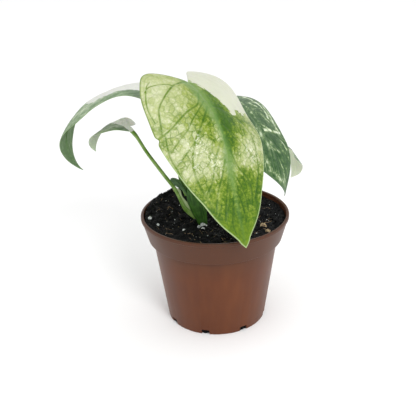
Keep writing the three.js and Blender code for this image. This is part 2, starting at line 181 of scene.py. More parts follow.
def turned(line, turns):
    """Points and faces of a profile turned round Z. Points on the axis become one."""
    points, rings = [], []
    for r, z in line:
        if r < 1e-6:
            points.append((0, 0, z))
            rings.append([len(points) - 1] * turns)
            continue
        rings.append(list(range(len(points), len(points) + turns)))
        for k in range(turns):
            a = 2 * math.pi * k / turns
            points.append((r * math.cos(a), r * math.sin(a), z))
    faces = []
    for low, high in zip(rings, rings[1:]):
        for k in range(turns):
            n = (k + 1) % turns
            corners = [low[k], low[n], high[n], high[k]]
            faces.append(list(dict.fromkeys(corners)))
    return points, faces


def slot_cutter(turn):
    """Points and faces of one drain slot's cutter: an arch-topped bar that points outwards."""
    half = SLOT_WIDTH / 2
    outline = [(-half, -1), (half, -1)]
    for side, start in ((1, 0), (-1, 90)):
        for k in range(5):
            a = math.radians(start + 22.5 * k)
            across = side * (half - SLOT_ROUND) + SLOT_ROUND * math.cos(a)
            outline.append((across, SLOT_HEIGHT - SLOT_ROUND + SLOT_ROUND * math.sin(a)))
    spin = Matrix.Rotation(math.radians(turn), 3, "Z")
    points = [spin @ Vector((x, -depth, z)) for depth in SLOT_DEPTHS for x, z in outline]
    count = len(outline)
    faces = [list(range(count)), list(range(2 * count - 1, count - 1, -1))]
    faces += [[k, k + count, (k + 1) % count + count, (k + 1) % count] for k in range(count)]
    return points, faces


def joined(parts):
    """Several lists of points and faces as one."""
    points, faces = [], []
    for some_points, some_faces in parts:
        start = len(points)
        points.extend(some_points)
        faces.extend([[i + start for i in f] for f in some_faces])
    return points, faces


# Polypropylene, satin moulded: an even brown with a soft wide highlight, a fine orange-peel
# grain and faint flow lines that run up the wall, and a little peat dust near the rim. From the
# upper body up to the collar it darkens, a painted shade from the collar's step and the leaves.
FLOW_WIDTH = 9 * MM
CLOUD_WIDTH = 35 * MM
DUST_WIDTH = 1.6 * MM
GRAIN = 0.9 * MM  # the true grain is about 0.2 mm, drawn coarser so that it shows
SPECK = (-31.2 * MM, -44.6 * MM, 71.3 * MM)  # a dark moulding speck at the foot of the collar
pot_plastic, tree, shader = new_material("satin_moulded_polypropylene")
where = add(tree, "TexCoord").outputs["Object"]
height = add(tree, "SeparateXYZ", inputs={0: where}).outputs[2]
flow_stretch = add(tree, "Mapping", inputs={0: where, "Scale": (1, 1, 0.12)})
flow = add(tree, "TexNoise", inputs={0: flow_stretch, "Scale": 1 / FLOW_WIDTH, "Detail": 3})
clouds = add(tree, "TexNoise", inputs={0: where, "Scale": 1 / CLOUD_WIDTH, "Detail": 4})
mottle = add(tree, "Math", TIMES, {0: flow, 1: clouds})
tint = add(tree, "ValToRGB", {"stops": [(0.12, "#55280c"), (0.42, "#613110")]}, {0: mottle})
dust_spots = add(tree, "TexNoise", inputs={0: where, "Scale": 1 / DUST_WIDTH, "Detail": 5, "Roughness": 0.7})
dust_height = add(tree, "MapRange", inputs={0: height, 1: 62 * MM, 2: 91 * MM, 3: -0.2, 4: 0.09})
dust_sum = add(tree, "Math", PLUS, {0: dust_spots, 1: dust_height})
dust = add(tree, "MapRange", inputs={0: dust_sum, 1: 0.56, 2: 0.68, 3: 0, 4: 0.7})
dusted = add(tree, "Mix", COLOURS, {0: dust, 6: tint, 7: linear("#3c2a22")})
speck_gap = add(tree, "VectorMath", {"operation": "DISTANCE"}, {0: where, 1: SPECK})
speck = add(tree, "MapRange", inputs={0: speck_gap, 1: 0.5 * MM, 2: 1.1 * MM, 3: 0.9, 4: 0})
specked = add(tree, "Mix", COLOURS, {0: speck, 6: dusted, 7: linear("#1d120d")})
# Painted shade: from 52 mm up to the collar the brown darkens, as if shaded by the collar's step and the
# leaves.
painted_rim_shade = add(tree, "MapRange", inputs={0: height, 1: 52 * MM, 2: 74 * MM, 3: 0, 4: 0.62})
pot_colour = add(tree, "Mix", COLOURS, {0: painted_rim_shade, 6: specked, 7: linear("#422614")})
roughness = add(tree, "MapRange", inputs={0: clouds, 3: 0.36, 4: 0.5})
grain = add(tree, "TexNoise", inputs={0: where, "Scale": 1 / GRAIN, "Detail": 2})
relief = add(tree, "Bump", inputs={"Strength": 0.25, "Distance": 0.05 * MM, "Height": grain})
fill(tree, shader, {"Base Color": pot_colour, "Roughness": roughness, "Normal": relief})
fill(tree, shader, {"IOR": 1.49, "Specular IOR Level": 0.33})

lip_inner = RIM_RADIUS - LIP_WIDTH
collar_inner_foot = COLLAR_FOOT[1] + WALL
pot_profile = filleted(
    [
        (0, 0, 0),
        (FOOT_RADIUS - FOOT_BEVEL, 0, 0),
        (FOOT_RADIUS, 0, 0.7),
        (*BODY_TOP, 0.6),
        (*COLLAR_FOOT, 0.7),
        (*COLLAR_TOP, 0.3),
        (RIM_RADIUS, COLLAR_TOP[1] + 0.5, 0.35),
        (RIM_RADIUS, POT_HEIGHT, 0.8),
        (lip_inner, POT_HEIGHT, 0.7),
        (inner_radius(COLLAR_TOP[1]), COLLAR_TOP[1], 0.8),
        (inner_radius(collar_inner_foot), collar_inner_foot, 0.5),
        (inner_radius(BODY_TOP[1]), SHELF_HEIGHT, 0.4),
        (inner_radius(FLOOR_THICKNESS), FLOOR_THICKNESS, 0.4),
        (0, FLOOR_THICKNESS, 0),
    ]
)
pot = new_piece("pot_moulding", *turned(pot_profile, POT_TURNS), pot_plastic)
slots = [slot_cutter(-SLOT_START + 360 / SLOT_COUNT * k) for k in range(SLOT_COUNT)]
cutter = new_piece("slot_cutter", *joined(slots), pot_plastic)
cut = pot.modifiers.new("slots", "BOOLEAN")
cut.object = cutter
cut.operation = "DIFFERENCE"
cut.solver = "EXACT"
apply_modifiers(pot)
bpy.data.objects.remove(cutter)
pot.data.set_sharp_from_angle(angle=math.radians(40))
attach(pot, "root")
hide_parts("pot")


# Soil
# A plug of damp black peat with a lumpy, crumbly top, heaped against the left of the back wall.
# Loose crumbs, fibres and perlite dust lie on it.

SOIL_LEVEL = 87
SOIL_EDGE_LEVEL = 87.5
SOIL_EDGE_RADIUS = 56.7
HEAP_HEIGHT = 6.5
HEAP_ANGLE = 140
HEAP_SPREAD = 38
LUMP = 1.0
CLEAR = 0.35  # gap kept where two pieces touch
SOIL_TURNS = 360
SOIL_STEP = 0.8


def smoothstep(low, high, value):
    """A soft step from 0 at low to 1 at high, which may also be the smaller of the two."""
    t = np.clip((value - low) / (high - low), 0, 1)
    return t * t * (3 - 2 * t)


def soil_top(x, y):
    """The height of the soil without its crumbs."""
    r = np.hypot(x, y)
    off = np.degrees(np.arctan2(y, x)) - HEAP_ANGLE
    turn = np.abs((off + 540) % 360 - 180)
    heap = HEAP_HEIGHT * np.exp(-((turn / HEAP_SPREAD) ** 2)) * smoothstep(22, 48, r)
    coarse = np.sin(0.17 * x + 1.7) * np.sin(0.15 * y + 0.4)
    medium = np.sin(0.29 * x + 0.13 * y + 0.2) * np.sin(0.34 * y - 0.1 * x + 2.1)
    fine = np.sin(0.55 * x + 0.2 * y + 2.9) * np.sin(0.6 * y - 0.25 * x + 0.9)
    calm = 1 - 0.55 * smoothstep(44, 56, r) * (1 - heap / HEAP_HEIGHT)
    lumps = LUMP * calm * (0.8 * coarse + 0.7 * medium + 0.5 * fine)
    return SOIL_LEVEL + (SOIL_EDGE_LEVEL - SOIL_LEVEL) * smoothstep(30, 56, r) + heap + lumps


def crumbly(x, y):
    """What crumbs of several sizes add to the soil's height."""
    total = 0
    for size, height in ((5.5, 0.75), (2.6, 0.75), (1.3, 0.45)):
        spot = Vector((x / size, y / size, size))
        total += height * (noise.cell(spot) * 0.35 + noise.noise(spot) + 0.35 * noise.noise(spot * 2.1))
    return total


# Peat, dug and sieved: nearly black and matt, with a few pale bits in it, and a damp glint here
# and there.
TONE_WIDTH = 2.2 * MM
BIT_SPACING = 2.4 * MM
DAMP_WIDTH = 7 * MM
FINE_CRUMB = 0.8 * MM
peat, tree, shader = new_material("damp_sieved_peat")
where = add(tree, "TexCoord").outputs["Object"]
tone = add(tree, "TexNoise", inputs={0: where, "Scale": 1 / TONE_WIDTH, "Detail": 6, "Roughness": 0.75})
peat_tint = add(tree, "ValToRGB", {"stops": [(0.42, "#030506"), (0.72, "#151514")]}, {0: tone})
bits = add(tree, "TexVoronoi", inputs={0: where, "Scale": 1 / BIT_SPACING})
bit = add(tree, "MapRange", inputs={0: bits, 1: 0.1, 2: 0.2, 3: 1, 4: 0})
bit_share = add(tree, "SeparateXYZ", inputs={0: bits.outputs["Color"]})
few = add(tree, "Math", {"operation": "GREATER_THAN"}, {0: bit_share, 1: 0.82})
pale_bit = add(tree, "Math", TIMES, {0: bit, 1: few})
peat_colour = add(tree, "Mix", COLOURS, {0: pale_bit, 6: peat_tint, 7: linear("#8a806b")})
damp = add(tree, "TexNoise", inputs={0: where, "Scale": 1 / DAMP_WIDTH, "Detail": 3})
peat_roughness = add(tree, "MapRange", inputs={0: damp, 1: 0.35, 2: 0.65, 3: 0.6, 4: 0.95})
crumb_noise = add(tree, "TexNoise", inputs={0: where, "Scale": 1 / FINE_CRUMB, "Detail": 4})
relief = add(tree, "Bump", inputs={"Strength": 0.9, "Distance": 0.5 * MM, "Height": crumb_noise})
fill(tree, shader, {"Base Color": peat_colour, "Roughness": peat_roughness, "Normal": relief})
fill(tree, shader, {"Specular IOR Level": 0.2})

soil_bottom = FLOOR_THICKNESS + CLEAR
soil_shoulder = SOIL_LEVEL - 5
ring_count = int(SOIL_EDGE_RADIUS / SOIL_STEP)
soil_rings = [SOIL_EDGE_RADIUS * k / ring_count for k in range(ring_count, 0, -1)]
soil_profile = [
    (0, soil_bottom),
    (inner_radius(soil_bottom) - CLEAR, soil_bottom),
    (inner_radius(BODY_TOP[1]) - CLEAR, SHELF_HEIGHT + CLEAR),
    (inner_radius(collar_inner_foot) - CLEAR, collar_inner_foot + CLEAR),
    (inner_radius(soil_shoulder) - CLEAR, soil_shoulder),
    *[(r, SOIL_LEVEL) for r in soil_rings],
    (0, SOIL_LEVEL),
]
soil_points, soil_faces = turned(soil_profile, SOIL_TURNS)
soil_points = np.array(soil_points)
on_top = soil_points[:, 2] > SOIL_LEVEL - 0.01
tops = soil_points[on_top]
calm_edge = smoothstep(SOIL_EDGE_RADIUS, SOIL_EDGE_RADIUS - 4, np.hypot(tops[:, 0], tops[:, 1]))
crumbs = np.array([crumbly(x, y) for x, y, _ in tops])
soil_points[on_top, 2] = soil_top(tops[:, 0], tops[:, 1]) + crumbs * (0.4 + 0.6 * calm_edge)
soil = new_piece("peat_plug", soil_points, soil_faces, peat, sharp=180)
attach(soil, "root")
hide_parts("soil")


# Crumbs, fibres and dust on the soil
# Loose peat crumbs from 1 to 5 mm across, short brown fibres and white perlite dust, which
# lie where they fell when the pot was filled.

STEM_FOOT = (-10.2, -11.6)
STEM_KEEP_OUT = 5.2  # nothing loose lies nearer than this to the stem's centre


def soil_height(x, y):
    """The height of the soil with its crumbs."""
    return float(soil_top(x, y)) + crumbly(x, y)


def ball(level):
    """Points and faces of an even ball of radius 1."""
    shape = bmesh.new()
    bmesh.ops.create_icosphere(shape, subdivisions=level, radius=1)
    points = np.array([v.co for v in shape.verts])
    faces = [[v.index for v in f.verts] for f in shape.faces]
    shape.free()
    return points, faces


def scattered(random, count, sizes, level, squash, sink):
    """Rough grains strewn over the soil: sizes is the range of radii and sink how deep they lie."""
    shape, faces = ball(level)
    parts = []
    while len(parts) < count:
        r = SOIL_EDGE_RADIUS * math.sqrt(random.random())
        a = 2 * math.pi * random.random()
        x, y = r * math.cos(a), r * math.sin(a)
        size = sizes[0] + (sizes[1] - sizes[0]) * random.random() ** 2.5
        clear_of_stem = math.hypot(x - STEM_FOOT[0], y - STEM_FOOT[1]) > STEM_KEEP_OUT + size
        if r > SOIL_EDGE_RADIUS - size * 0.8 or not clear_of_stem:
            continue
        spin = np.linalg.qr(random.normal(size=(3, 3)))[0]
        rough = shape * (0.72 + 0.5 * random.random((len(shape), 1)))
        grown = (rough * (1, 0.6 + 0.4 * random.random(), squash)) @ spin.T * size
        parts.append((grown + (x, y, soil_height(x, y) + size * sink), faces))
    return joined(parts)


def fibre(points, radius, sides=5):
    """A thin closed tube along points."""
    points = [Vector(p) for p in points]
    rings = []
    for k, p in enumerate(points):
        ahead = (points[min(k + 1, len(points) - 1)] - points[max(k - 1, 0)]).normalized()
        across = ahead.cross(Vector((0.3, 0.2, 1))).normalized()
        deep = across.cross(ahead)
        for s in range(sides):
            a = 2 * math.pi * s / sides
            rings.append(p + radius * (across * math.cos(a) + deep * math.sin(a)))
    count = len(points)
    faces = [list(range(sides)), list(range(count * sides - 1, (count - 1) * sides - 1, -1))]
    for k in range(count - 1):
        for s in range(sides):
            n = (s + 1) % sides
            faces.append([k * sides + s, (k + 1) * sides + s, (k + 1) * sides + n, k * sides + n])
    return [tuple(p) for p in rings], faces


random = np.random.default_rng(41)
small = scattered(random, 2600, sizes=(0.45, 1.4), level=1, squash=0.8, sink=0.15)
large = scattered(random, 260, sizes=(1.3, 2.8), level=2, squash=0.75, sink=0.1)
# Every drain slot is filled with dark peat crumbs, coarse ones behind and fine ones near the
# wall's face: a dark filling that stands in for the shade inside the slot. For each size: count,
# radius, how deep the first lies, and how far they spread inwards and upwards.
SLOT_SHADE_CRUMBS = [(50, 0.85, 1.9, 3.5, 2.4), (30, 0.5, 0.75, 1.2, 0.9)]
slot_shade_crumbs = []
shape, faces = ball(2)
for k in range(SLOT_COUNT):
    turn = Matrix.Rotation(math.radians(-SLOT_START + 360 / SLOT_COUNT * k), 3, "Z")
    for count, size, nearest, inwards, upwards in SLOT_SHADE_CRUMBS:
        for _ in range(count):
            side = (random.random() - 0.5) * (SLOT_WIDTH - 2 * size)
            deep = FOOT_RADIUS - (nearest + inwards * random.random())
            high = size + upwards * random.random()
            rough = shape * (0.62 + 0.3 * random.random((len(shape), 1))) * size
            slot_shade_crumbs.append((rough + np.array(turn @ Vector((side, -deep, high))), faces))
crumb_piece = new_piece("peat_crumbs", *joined([small, large, *slot_shade_crumbs]), peat, sharp=60)
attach(crumb_piece, "root")

# Peat fibre, torn: dry, pale brown and matt.
fibre_skin, tree, shader = new_material("torn_peat_fibre")
where = add(tree, "TexCoord").outputs["Object"]
tone = add(tree, "TexNoise", inputs={0: where, "Scale": 1 / (3 * MM), "Detail": 3})
tint = add(tree, "ValToRGB", {"stops": [(0.35, "#3a2c1f"), (0.65, "#8a7355")]}, {0: tone})
fill(tree, shader, {"Base Color": tint, "Roughness": 0.85})

FIBRE_COUNT = 90
FIBRE_STEPS = 6
FIBRE_REACH = 54  # no fibre starts further out than this
FIBRE_END_REACH = 55.5
fibres = []
while len(fibres) < FIBRE_COUNT:
    r = FIBRE_REACH * math.sqrt(random.random())
    a = 2 * math.pi * random.random()
    heading = 2 * math.pi * random.random()
    length = 2.5 + 6 * random.random() ** 2
    bend = 1.5 * (random.random() - 0.5)
    x, y = r * math.cos(a), r * math.sin(a)
    line = []
    for k in range(FIBRE_STEPS + 1):
        line.append((x, y, soil_height(x, y) + 0.35))
        x += length / FIBRE_STEPS * math.cos(heading + bend * k / FIBRE_STEPS)
        y += length / FIBRE_STEPS * math.sin(heading + bend * k / FIBRE_STEPS)
    near_stem = min(math.hypot(p[0] - STEM_FOOT[0], p[1] - STEM_FOOT[1]) for p in line) < STEM_KEEP_OUT
    if near_stem or math.hypot(x, y) > FIBRE_END_REACH:
        continue
    fibres.append(fibre(line, 0.14 + 0.12 * random.random()))
fibre_piece = new_piece("peat_fibres", *joined(fibres), fibre_skin, sharp=60)
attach(fibre_piece, "root")

# Perlite, expanded: white, rough and full of pores, with a little peat rubbed into it.
perlite, tree, shader = new_material("expanded_perlite")
where = add(tree, "TexCoord").outputs["Object"]
pores = add(tree, "TexVoronoi", inputs={0: where, "Scale": 1 / (0.7 * MM)})
stain = add(tree, "TexNoise", inputs={0: where, "Scale": 1 / (1.4 * MM), "Detail": 4})
tint = add(tree, "ValToRGB", {"stops": [(0.4, "#8d9290"), (0.58, "#e3e8e6")]}, {0: stain})
relief = add(tree, "Bump", inputs={"Strength": 0.8, "Distance": 0.25 * MM, "Height": pores})
fill(tree, shader, {"Base Color": tint, "Roughness": 0.9, "Normal": relief})

# Three larger grains lie together in front of the stem: each one's place and radius.
BY_STEM = [(-9.8, -25.9, 88.2, 1.5), (-12.9, -22, 88.2, 1.3), (-7.4, -20.5, 88.1, 1.2)]
by_stem = []
shape, faces = ball(3)
for x, y, z, size in BY_STEM:
    rough = shape * (0.8 + 0.25 * random.random((len(shape), 1))) * size
    by_stem.append((rough + np.array((x, y, z)), faces))
dust = scattered(random, 150, sizes=(0.25, 0.75), level=1, squash=0.8, sink=0.5)
dust_piece = new_piece("perlite_dust", *joined([dust, *by_stem]), perlite, sharp=60)
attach(dust_piece, "root")


# Perlite grains and bark chips
# Eight larger bits that lie half sunk in the soil: expanded perlite, and chips of milled bark.
# Each keeps the outline of its solid and gets its rough skin here.

# Pine bark, milled: tan, matt and lengthwise grained.
bark, tree, shader = new_material("milled_pine_bark")
where = add(tree, "TexCoord").outputs["Object"]
stretch = add(tree, "Mapping", inputs={0: where, "Scale": (0.3, 1, 1), "Rotation": (0, 0, 0.6)})
tone = add(tree, "TexNoise", inputs={0: stretch, "Scale": 1 / (0.8 * MM), "Detail": 5})
tint = add(tree, "ValToRGB", {"stops": [(0.38, "#4a3826"), (0.6, "#c3ad86")]}, {0: tone})
relief = add(tree, "Bump", inputs={"Strength": 0.8, "Distance": 0.3 * MM, "Height": tone})
fill(tree, shader, {"Base Color": tint, "Roughness": 0.85, "Normal": relief})

KEPT_SHAPE = 0.35  # how much of a solid's own outline stays
ROUNDED = 0.62 * 0.9  # and how much of an even ball joins it
for kind, count, skin, bumps in (("perlite", 5, perlite, 0.22), ("bark_chip", 3, bark, 0.18)):
    for number in range(1, count + 1):
        node = f"{kind}_{number}"
        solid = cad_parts[node].data
        piece = new_piece(
            f"{node}_skin",
            [v.co / MM for v in solid.vertices],
            [list(p.vertices) for p in solid.polygons],
            skin,
            sharp=180,
        )
        weld = piece.modifiers.new("weld", "WELD")
        weld.merge_threshold = 0.01 * MM
        finer = piece.modifiers.new("finer", "SUBSURF")
        finer.levels = finer.render_levels = 3
        finer.subdivision_type = "SIMPLE"
        apply_modifiers(piece)
        low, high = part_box(node)
        middle = (low + high) / 2
        reach = max(high - low) / 2
        for v in piece.data.vertices:
            out = v.co - middle
            rough = noise.noise(v.co / (0.7 * MM)) + 0.6 * noise.noise(v.co / (0.3 * MM))
            v.co = middle + out.normalized() * (KEPT_SHAPE * out.length + ROUNDED * reach) * 0.98
            v.co += out.normalized() * bumps * reach * rough
        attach(piece, "root")
        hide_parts(node)


# Stem
# One short upright stem, wrapped in the sheaths of the leaf stalks, which ride up it in long
# ribs. It stands in the peat.

# Height, centre and half widths of the stem's sections, from its foot to its top
STEM = [
    (50, -9, -12.2, 2.2, 2.2), (56, -9, -12.2, 4.0, 4.0), (74, -9.4, -12, 4.0, 4.2),
    (87, -10.2, -11.6, 4.0, 4.4), (94, -12.2, -11.2, 5.6, 4.9), (103, -14.4, -10.6, 7.0, 5.4),
    (112, -16.4, -9.8, 6.0, 5.4), (119, -17.8, -9, 4.9, 5.0), (124, -18.8, -8.6, 3.8, 4.0),
    (127, -19.3, -8.4, 2.0, 2.2),
]
STEM_SIDES = 72
STEM_RINGS = 110
BLOTCH_WIDTH = 1 / 0.22


def keyed(keys, t):
    """A smooth curve through evenly spaced keys, with the share t running from 0 to 1."""
    keys = np.asarray(keys, float)
    last = len(keys) - 1
    place = np.clip(np.asarray(t, float), 0, 1) * last
    i = np.minimum(place.astype(int), last - 1)
    f = place - i
    b, c = keys[i], keys[i + 1]
    a = np.where(i > 0, keys[np.maximum(i - 1, 0)], 2 * b - c)
    d = np.where(i + 2 <= last, keys[np.minimum(i + 2, last)], 2 * c - b)
    return b + 0.5 * f * (c - a + f * (2 * a - 5 * b + 4 * c - d + f * (3 * (b - c) + d - a)))


def loft(rings):
    """Points and faces of a skin over rings of equal counts, closed at both ends."""
    rings = np.asarray(rings, float)
    count, sides = rings.shape[:2]
    faces = []
    for r in range(count - 1):
        for s in range(sides):
            n = (s + 1) % sides
            faces.append([r * sides + s, r * sides + n, (r + 1) * sides + n, (r + 1) * sides + s])
    faces.append(list(range(sides - 1, -1, -1)))
    faces.append(list(range((count - 1) * sides, count * sides)))
    return rings.reshape(-1, 3), faces


def green_skin(name, dark, light, stripe_width, roughness):
    """A stalk's or stem's skin: waxy, with fine lengthwise stripes."""
    material, tree, shader = new_material(name)
    where = add(tree, "Attribute", {"attribute_name": "round_and_along"}).outputs["Vector"]
    stretch = add(tree, "Mapping", inputs={0: where, "Scale": (1, 0.07, 1)})
    stripes = add(tree, "TexNoise", inputs={0: stretch, "Scale": 1 / stripe_width, "Detail": 4})
    blotch = add(tree, "TexNoise", inputs={0: where, "Scale": 1 / BLOTCH_WIDTH, "Detail": 3})
    both = add(tree, "Math", PLUS, {0: stripes, 1: blotch})
    share = add(tree, "MapRange", inputs={0: both, 1: 0.78, 2: 1.25, 3: 0, 4: 1})
    tint = add(tree, "ValToRGB", {"stops": [(0, dark), (1, light)]}, {0: share})
    relief = add(tree, "Bump", inputs={"Strength": 0.4, "Distance": 0.12 * MM, "Height": stripes})
    fill(tree, shader, {"Base Color": tint, "Roughness": roughness, "Normal": relief})
    fill(tree, shader, {"Specular IOR Level": 0.25, "Subsurface Weight": 0.15})
    fill(tree, shader, {"Subsurface Radius": (0.6, 1.0, 0.3), "Subsurface Scale": 1 * MM})
    return material


def skin_places(reach, sides, along):
    """For each point of a ring, where it lies round the stalk and how far along it."""
    a = 2 * np.pi * np.arange(sides) / sides
    return np.stack([reach * np.cos(a), np.full(sides, along), reach * np.sin(a)], 1)


def store(piece, name, values):
    """Keeps a list of three numbers for each vertex under a name."""
    layer = piece.data.attributes.new(name, "FLOAT_VECTOR", "POINT")
    layer.data.foreach_set("vector", np.asarray(values, np.float32).ravel())


# Plant skin, grown: waxy dark green, striped lengthwise by the veins of the sheaths.
stem_skin = green_skin("waxy_sheath_skin", "#1f4412", "#447026", stripe_width=0.9, roughness=0.45)
stations = np.array(STEM)
rings, round_and_along = [], []
for k in range(STEM_RINGS + 1):
    t = k / STEM_RINGS
    z, x, y, wide, deep = (float(keyed(stations[:, c], t)) for c in range(5))
    a = 2 * np.pi * np.arange(STEM_SIDES) / STEM_SIDES
    rise = float(smoothstep(0.3, 0.5, t))
    ridge = 1 + 0.05 * rise * np.cos(4 * a + 3 * t) + 0.012 * rise * np.cos(18 * a + 1.5 * np.sin(5 * t))
    level = np.full(STEM_SIDES, z)
    rings.append(np.stack([x + wide * ridge * np.cos(a), y + deep * ridge * np.sin(a), level], 1))
    round_and_along.append(skin_places(reach=5, sides=STEM_SIDES, along=z))
stem = new_piece("sheathed_stem", *loft(rings), stem_skin, sharp=60)
store(stem, "round_and_along", np.concatenate(round_and_along))
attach(stem, "root")
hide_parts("stem")


# Sheath tip
# The free tip of an outer sheath, a small rounded paddle that stands off the stem on the left.
# It is grown leaf tissue, a little dried, and its foot is one with the stem's skin.

SHEATH_ROUTE = [
    (-20.5, -11, 110), (-24.4, -11.4, 116), (-28.4, -11, 120.6),
    (-31.8, -10.5, 123.3), (-34.2, -10.2, 124.2),
]
SHEATH_WIDE = [1.2, 1.2, 2.2, 2.9, 1.3]
SHEATH_THICK = [1.2, 1.3, 1.6, 1.5, 0.7]
SHEATH_SIDES = 32
CURVE_STEPS = 60  # points between two given places of a route


def curve_through(points, step):
    """Points a step apart on a smooth curve through points, their directions and distances along it."""
    p = [Vector(q) for q in points]
    p = [2 * p[0] - p[1], *p, 2 * p[-1] - p[-2]]
    dense = []
    for k in range(1, len(p) - 2):
        a, b, c, d = p[k - 1 : k + 3]
        ta, tb, tc = ((v - u).length ** 0.5 for u, v in ((a, b), (b, c), (c, d)))
        start = ((b - a) / ta - (c - a) / (ta + tb) + (c - b) / tb) * tb
        end = ((c - b) / tb - (d - b) / (tb + tc) + (d - c) / tc) * tb
        for s in range(CURVE_STEPS):
            u = s / CURVE_STEPS
            square = -3 * b + 3 * c - 2 * start - end
            cube = 2 * b - 2 * c + start + end
            dense.append(b + start * u + square * u * u + cube * u**3)
    dense.append(p[-2])
    dense = np.array(dense)
    run = np.concatenate([[0], np.cumsum(np.linalg.norm(np.diff(dense, axis=0), axis=1))])
    count = max(2, round(run[-1] / step))
    at = np.linspace(0, run[-1], count + 1)
    line = np.stack([np.interp(at, run, dense[:, c]) for c in range(3)], 1)
    ahead = np.gradient(line, axis=0)
    return line, ahead / np.linalg.norm(ahead, axis=1)[:, None], at


def route_ring(point, ahead, wide, thick, sides):
    """An ellipse that faces along the route, wide from side to side."""
    across = np.cross((0, -1, 0), ahead)
    across /= np.linalg.norm(across)
    deep = np.cross(ahead, across)
    a = (2 * np.pi * np.arange(sides) / sides)[:, None]
    return point + across * wide * np.cos(a) + deep * thick * np.sin(a)


line, ahead, at = curve_through(SHEATH_ROUTE, step=0.35)
widths, depths = (keyed(sizes, at / at[-1]) * 0.98 for sizes in (SHEATH_WIDE, SHEATH_THICK))
rings = [route_ring(*ring, SHEATH_SIDES) for ring in zip(line, ahead, widths, depths)]
for k, share in ((-3, 0.35), (-2, 0.65), (-1, 0.87)):
    rings[k] = line[k] + (rings[k] - line[k]) * (1 - 0.25 * share)
# Plant skin, grown: the tip is dark and dull where it has dried a little.
tip_skin = green_skin("dull_sheath_tip_skin", "#34502f", "#5f7f50", stripe_width=1.1, roughness=0.5)
sheath_tip = new_piece("free_sheath_tip", *loft(rings), tip_skin, sharp=60)
places = [skin_places(reach=3, sides=SHEATH_SIDES, along=along) for along in at]
store(sheath_tip, "round_and_along", np.concatenate(places))
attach(sheath_tip, "root")
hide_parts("sheath_tip")


# Leaf shapes
# Every blade is one flat heart shape, bent along its midrib, folded at the midrib and curled
# down at its edges. What follows holds each leaf's bends, and turns them into a fine surface.

# A half leaf's outline, as shares of the midrib's length and of the half width
HEART = [(0, 0), (-0.045, 0.12), (-0.1, 0.3), (-0.135, 0.52), (-0.115, 0.74), (-0.03, 0.91), (0.1, 0.99),
         (0.25, 0.985), (0.42, 0.88), (0.58, 0.7), (0.72, 0.49), (0.84, 0.28), (0.92, 0.13),
         (0.965, 0.055), (1, 0)]
RIB_STEPS = 100
RIB_START = -0.25
HALF_BLADE = 0.2  # half the thickness of a blade
SOLID_HALF_BLADE = 0.35  # the same in the solids, which are thicker than life
SHEATH = 16  # length of the widened foot of a stalk
STALK_SIDES = 28
FOOT_WIDER = 0.9  # a stalk's foot is wider and deeper than the stalk by these shares
FOOT_DEEPER = 0.25
SWELL = 0.25
VALLEY = 0.26  # how deep the valley over a side vein is
CHANNEL = 0.32  # how deep the midrib lies on the largest blade
LARGEST = 52.4  # half the width of the largest blade
DIMPLES = 2.6  # width of the dimples between the finest veins
SINK = 0.03  # keeps the upper face inside its solid
OUTLINE_POINTS = 700
CLOSER_OUT = 1.25  # lets the rows of points lie closer together towards the edge
EDGE_ROUND = 0.45
NEAR = 0.004  # the small step, as a share of a leaf, with which a slope is measured
FAR = 99.0  # millimetres, so far from a vein that it has no effect any more

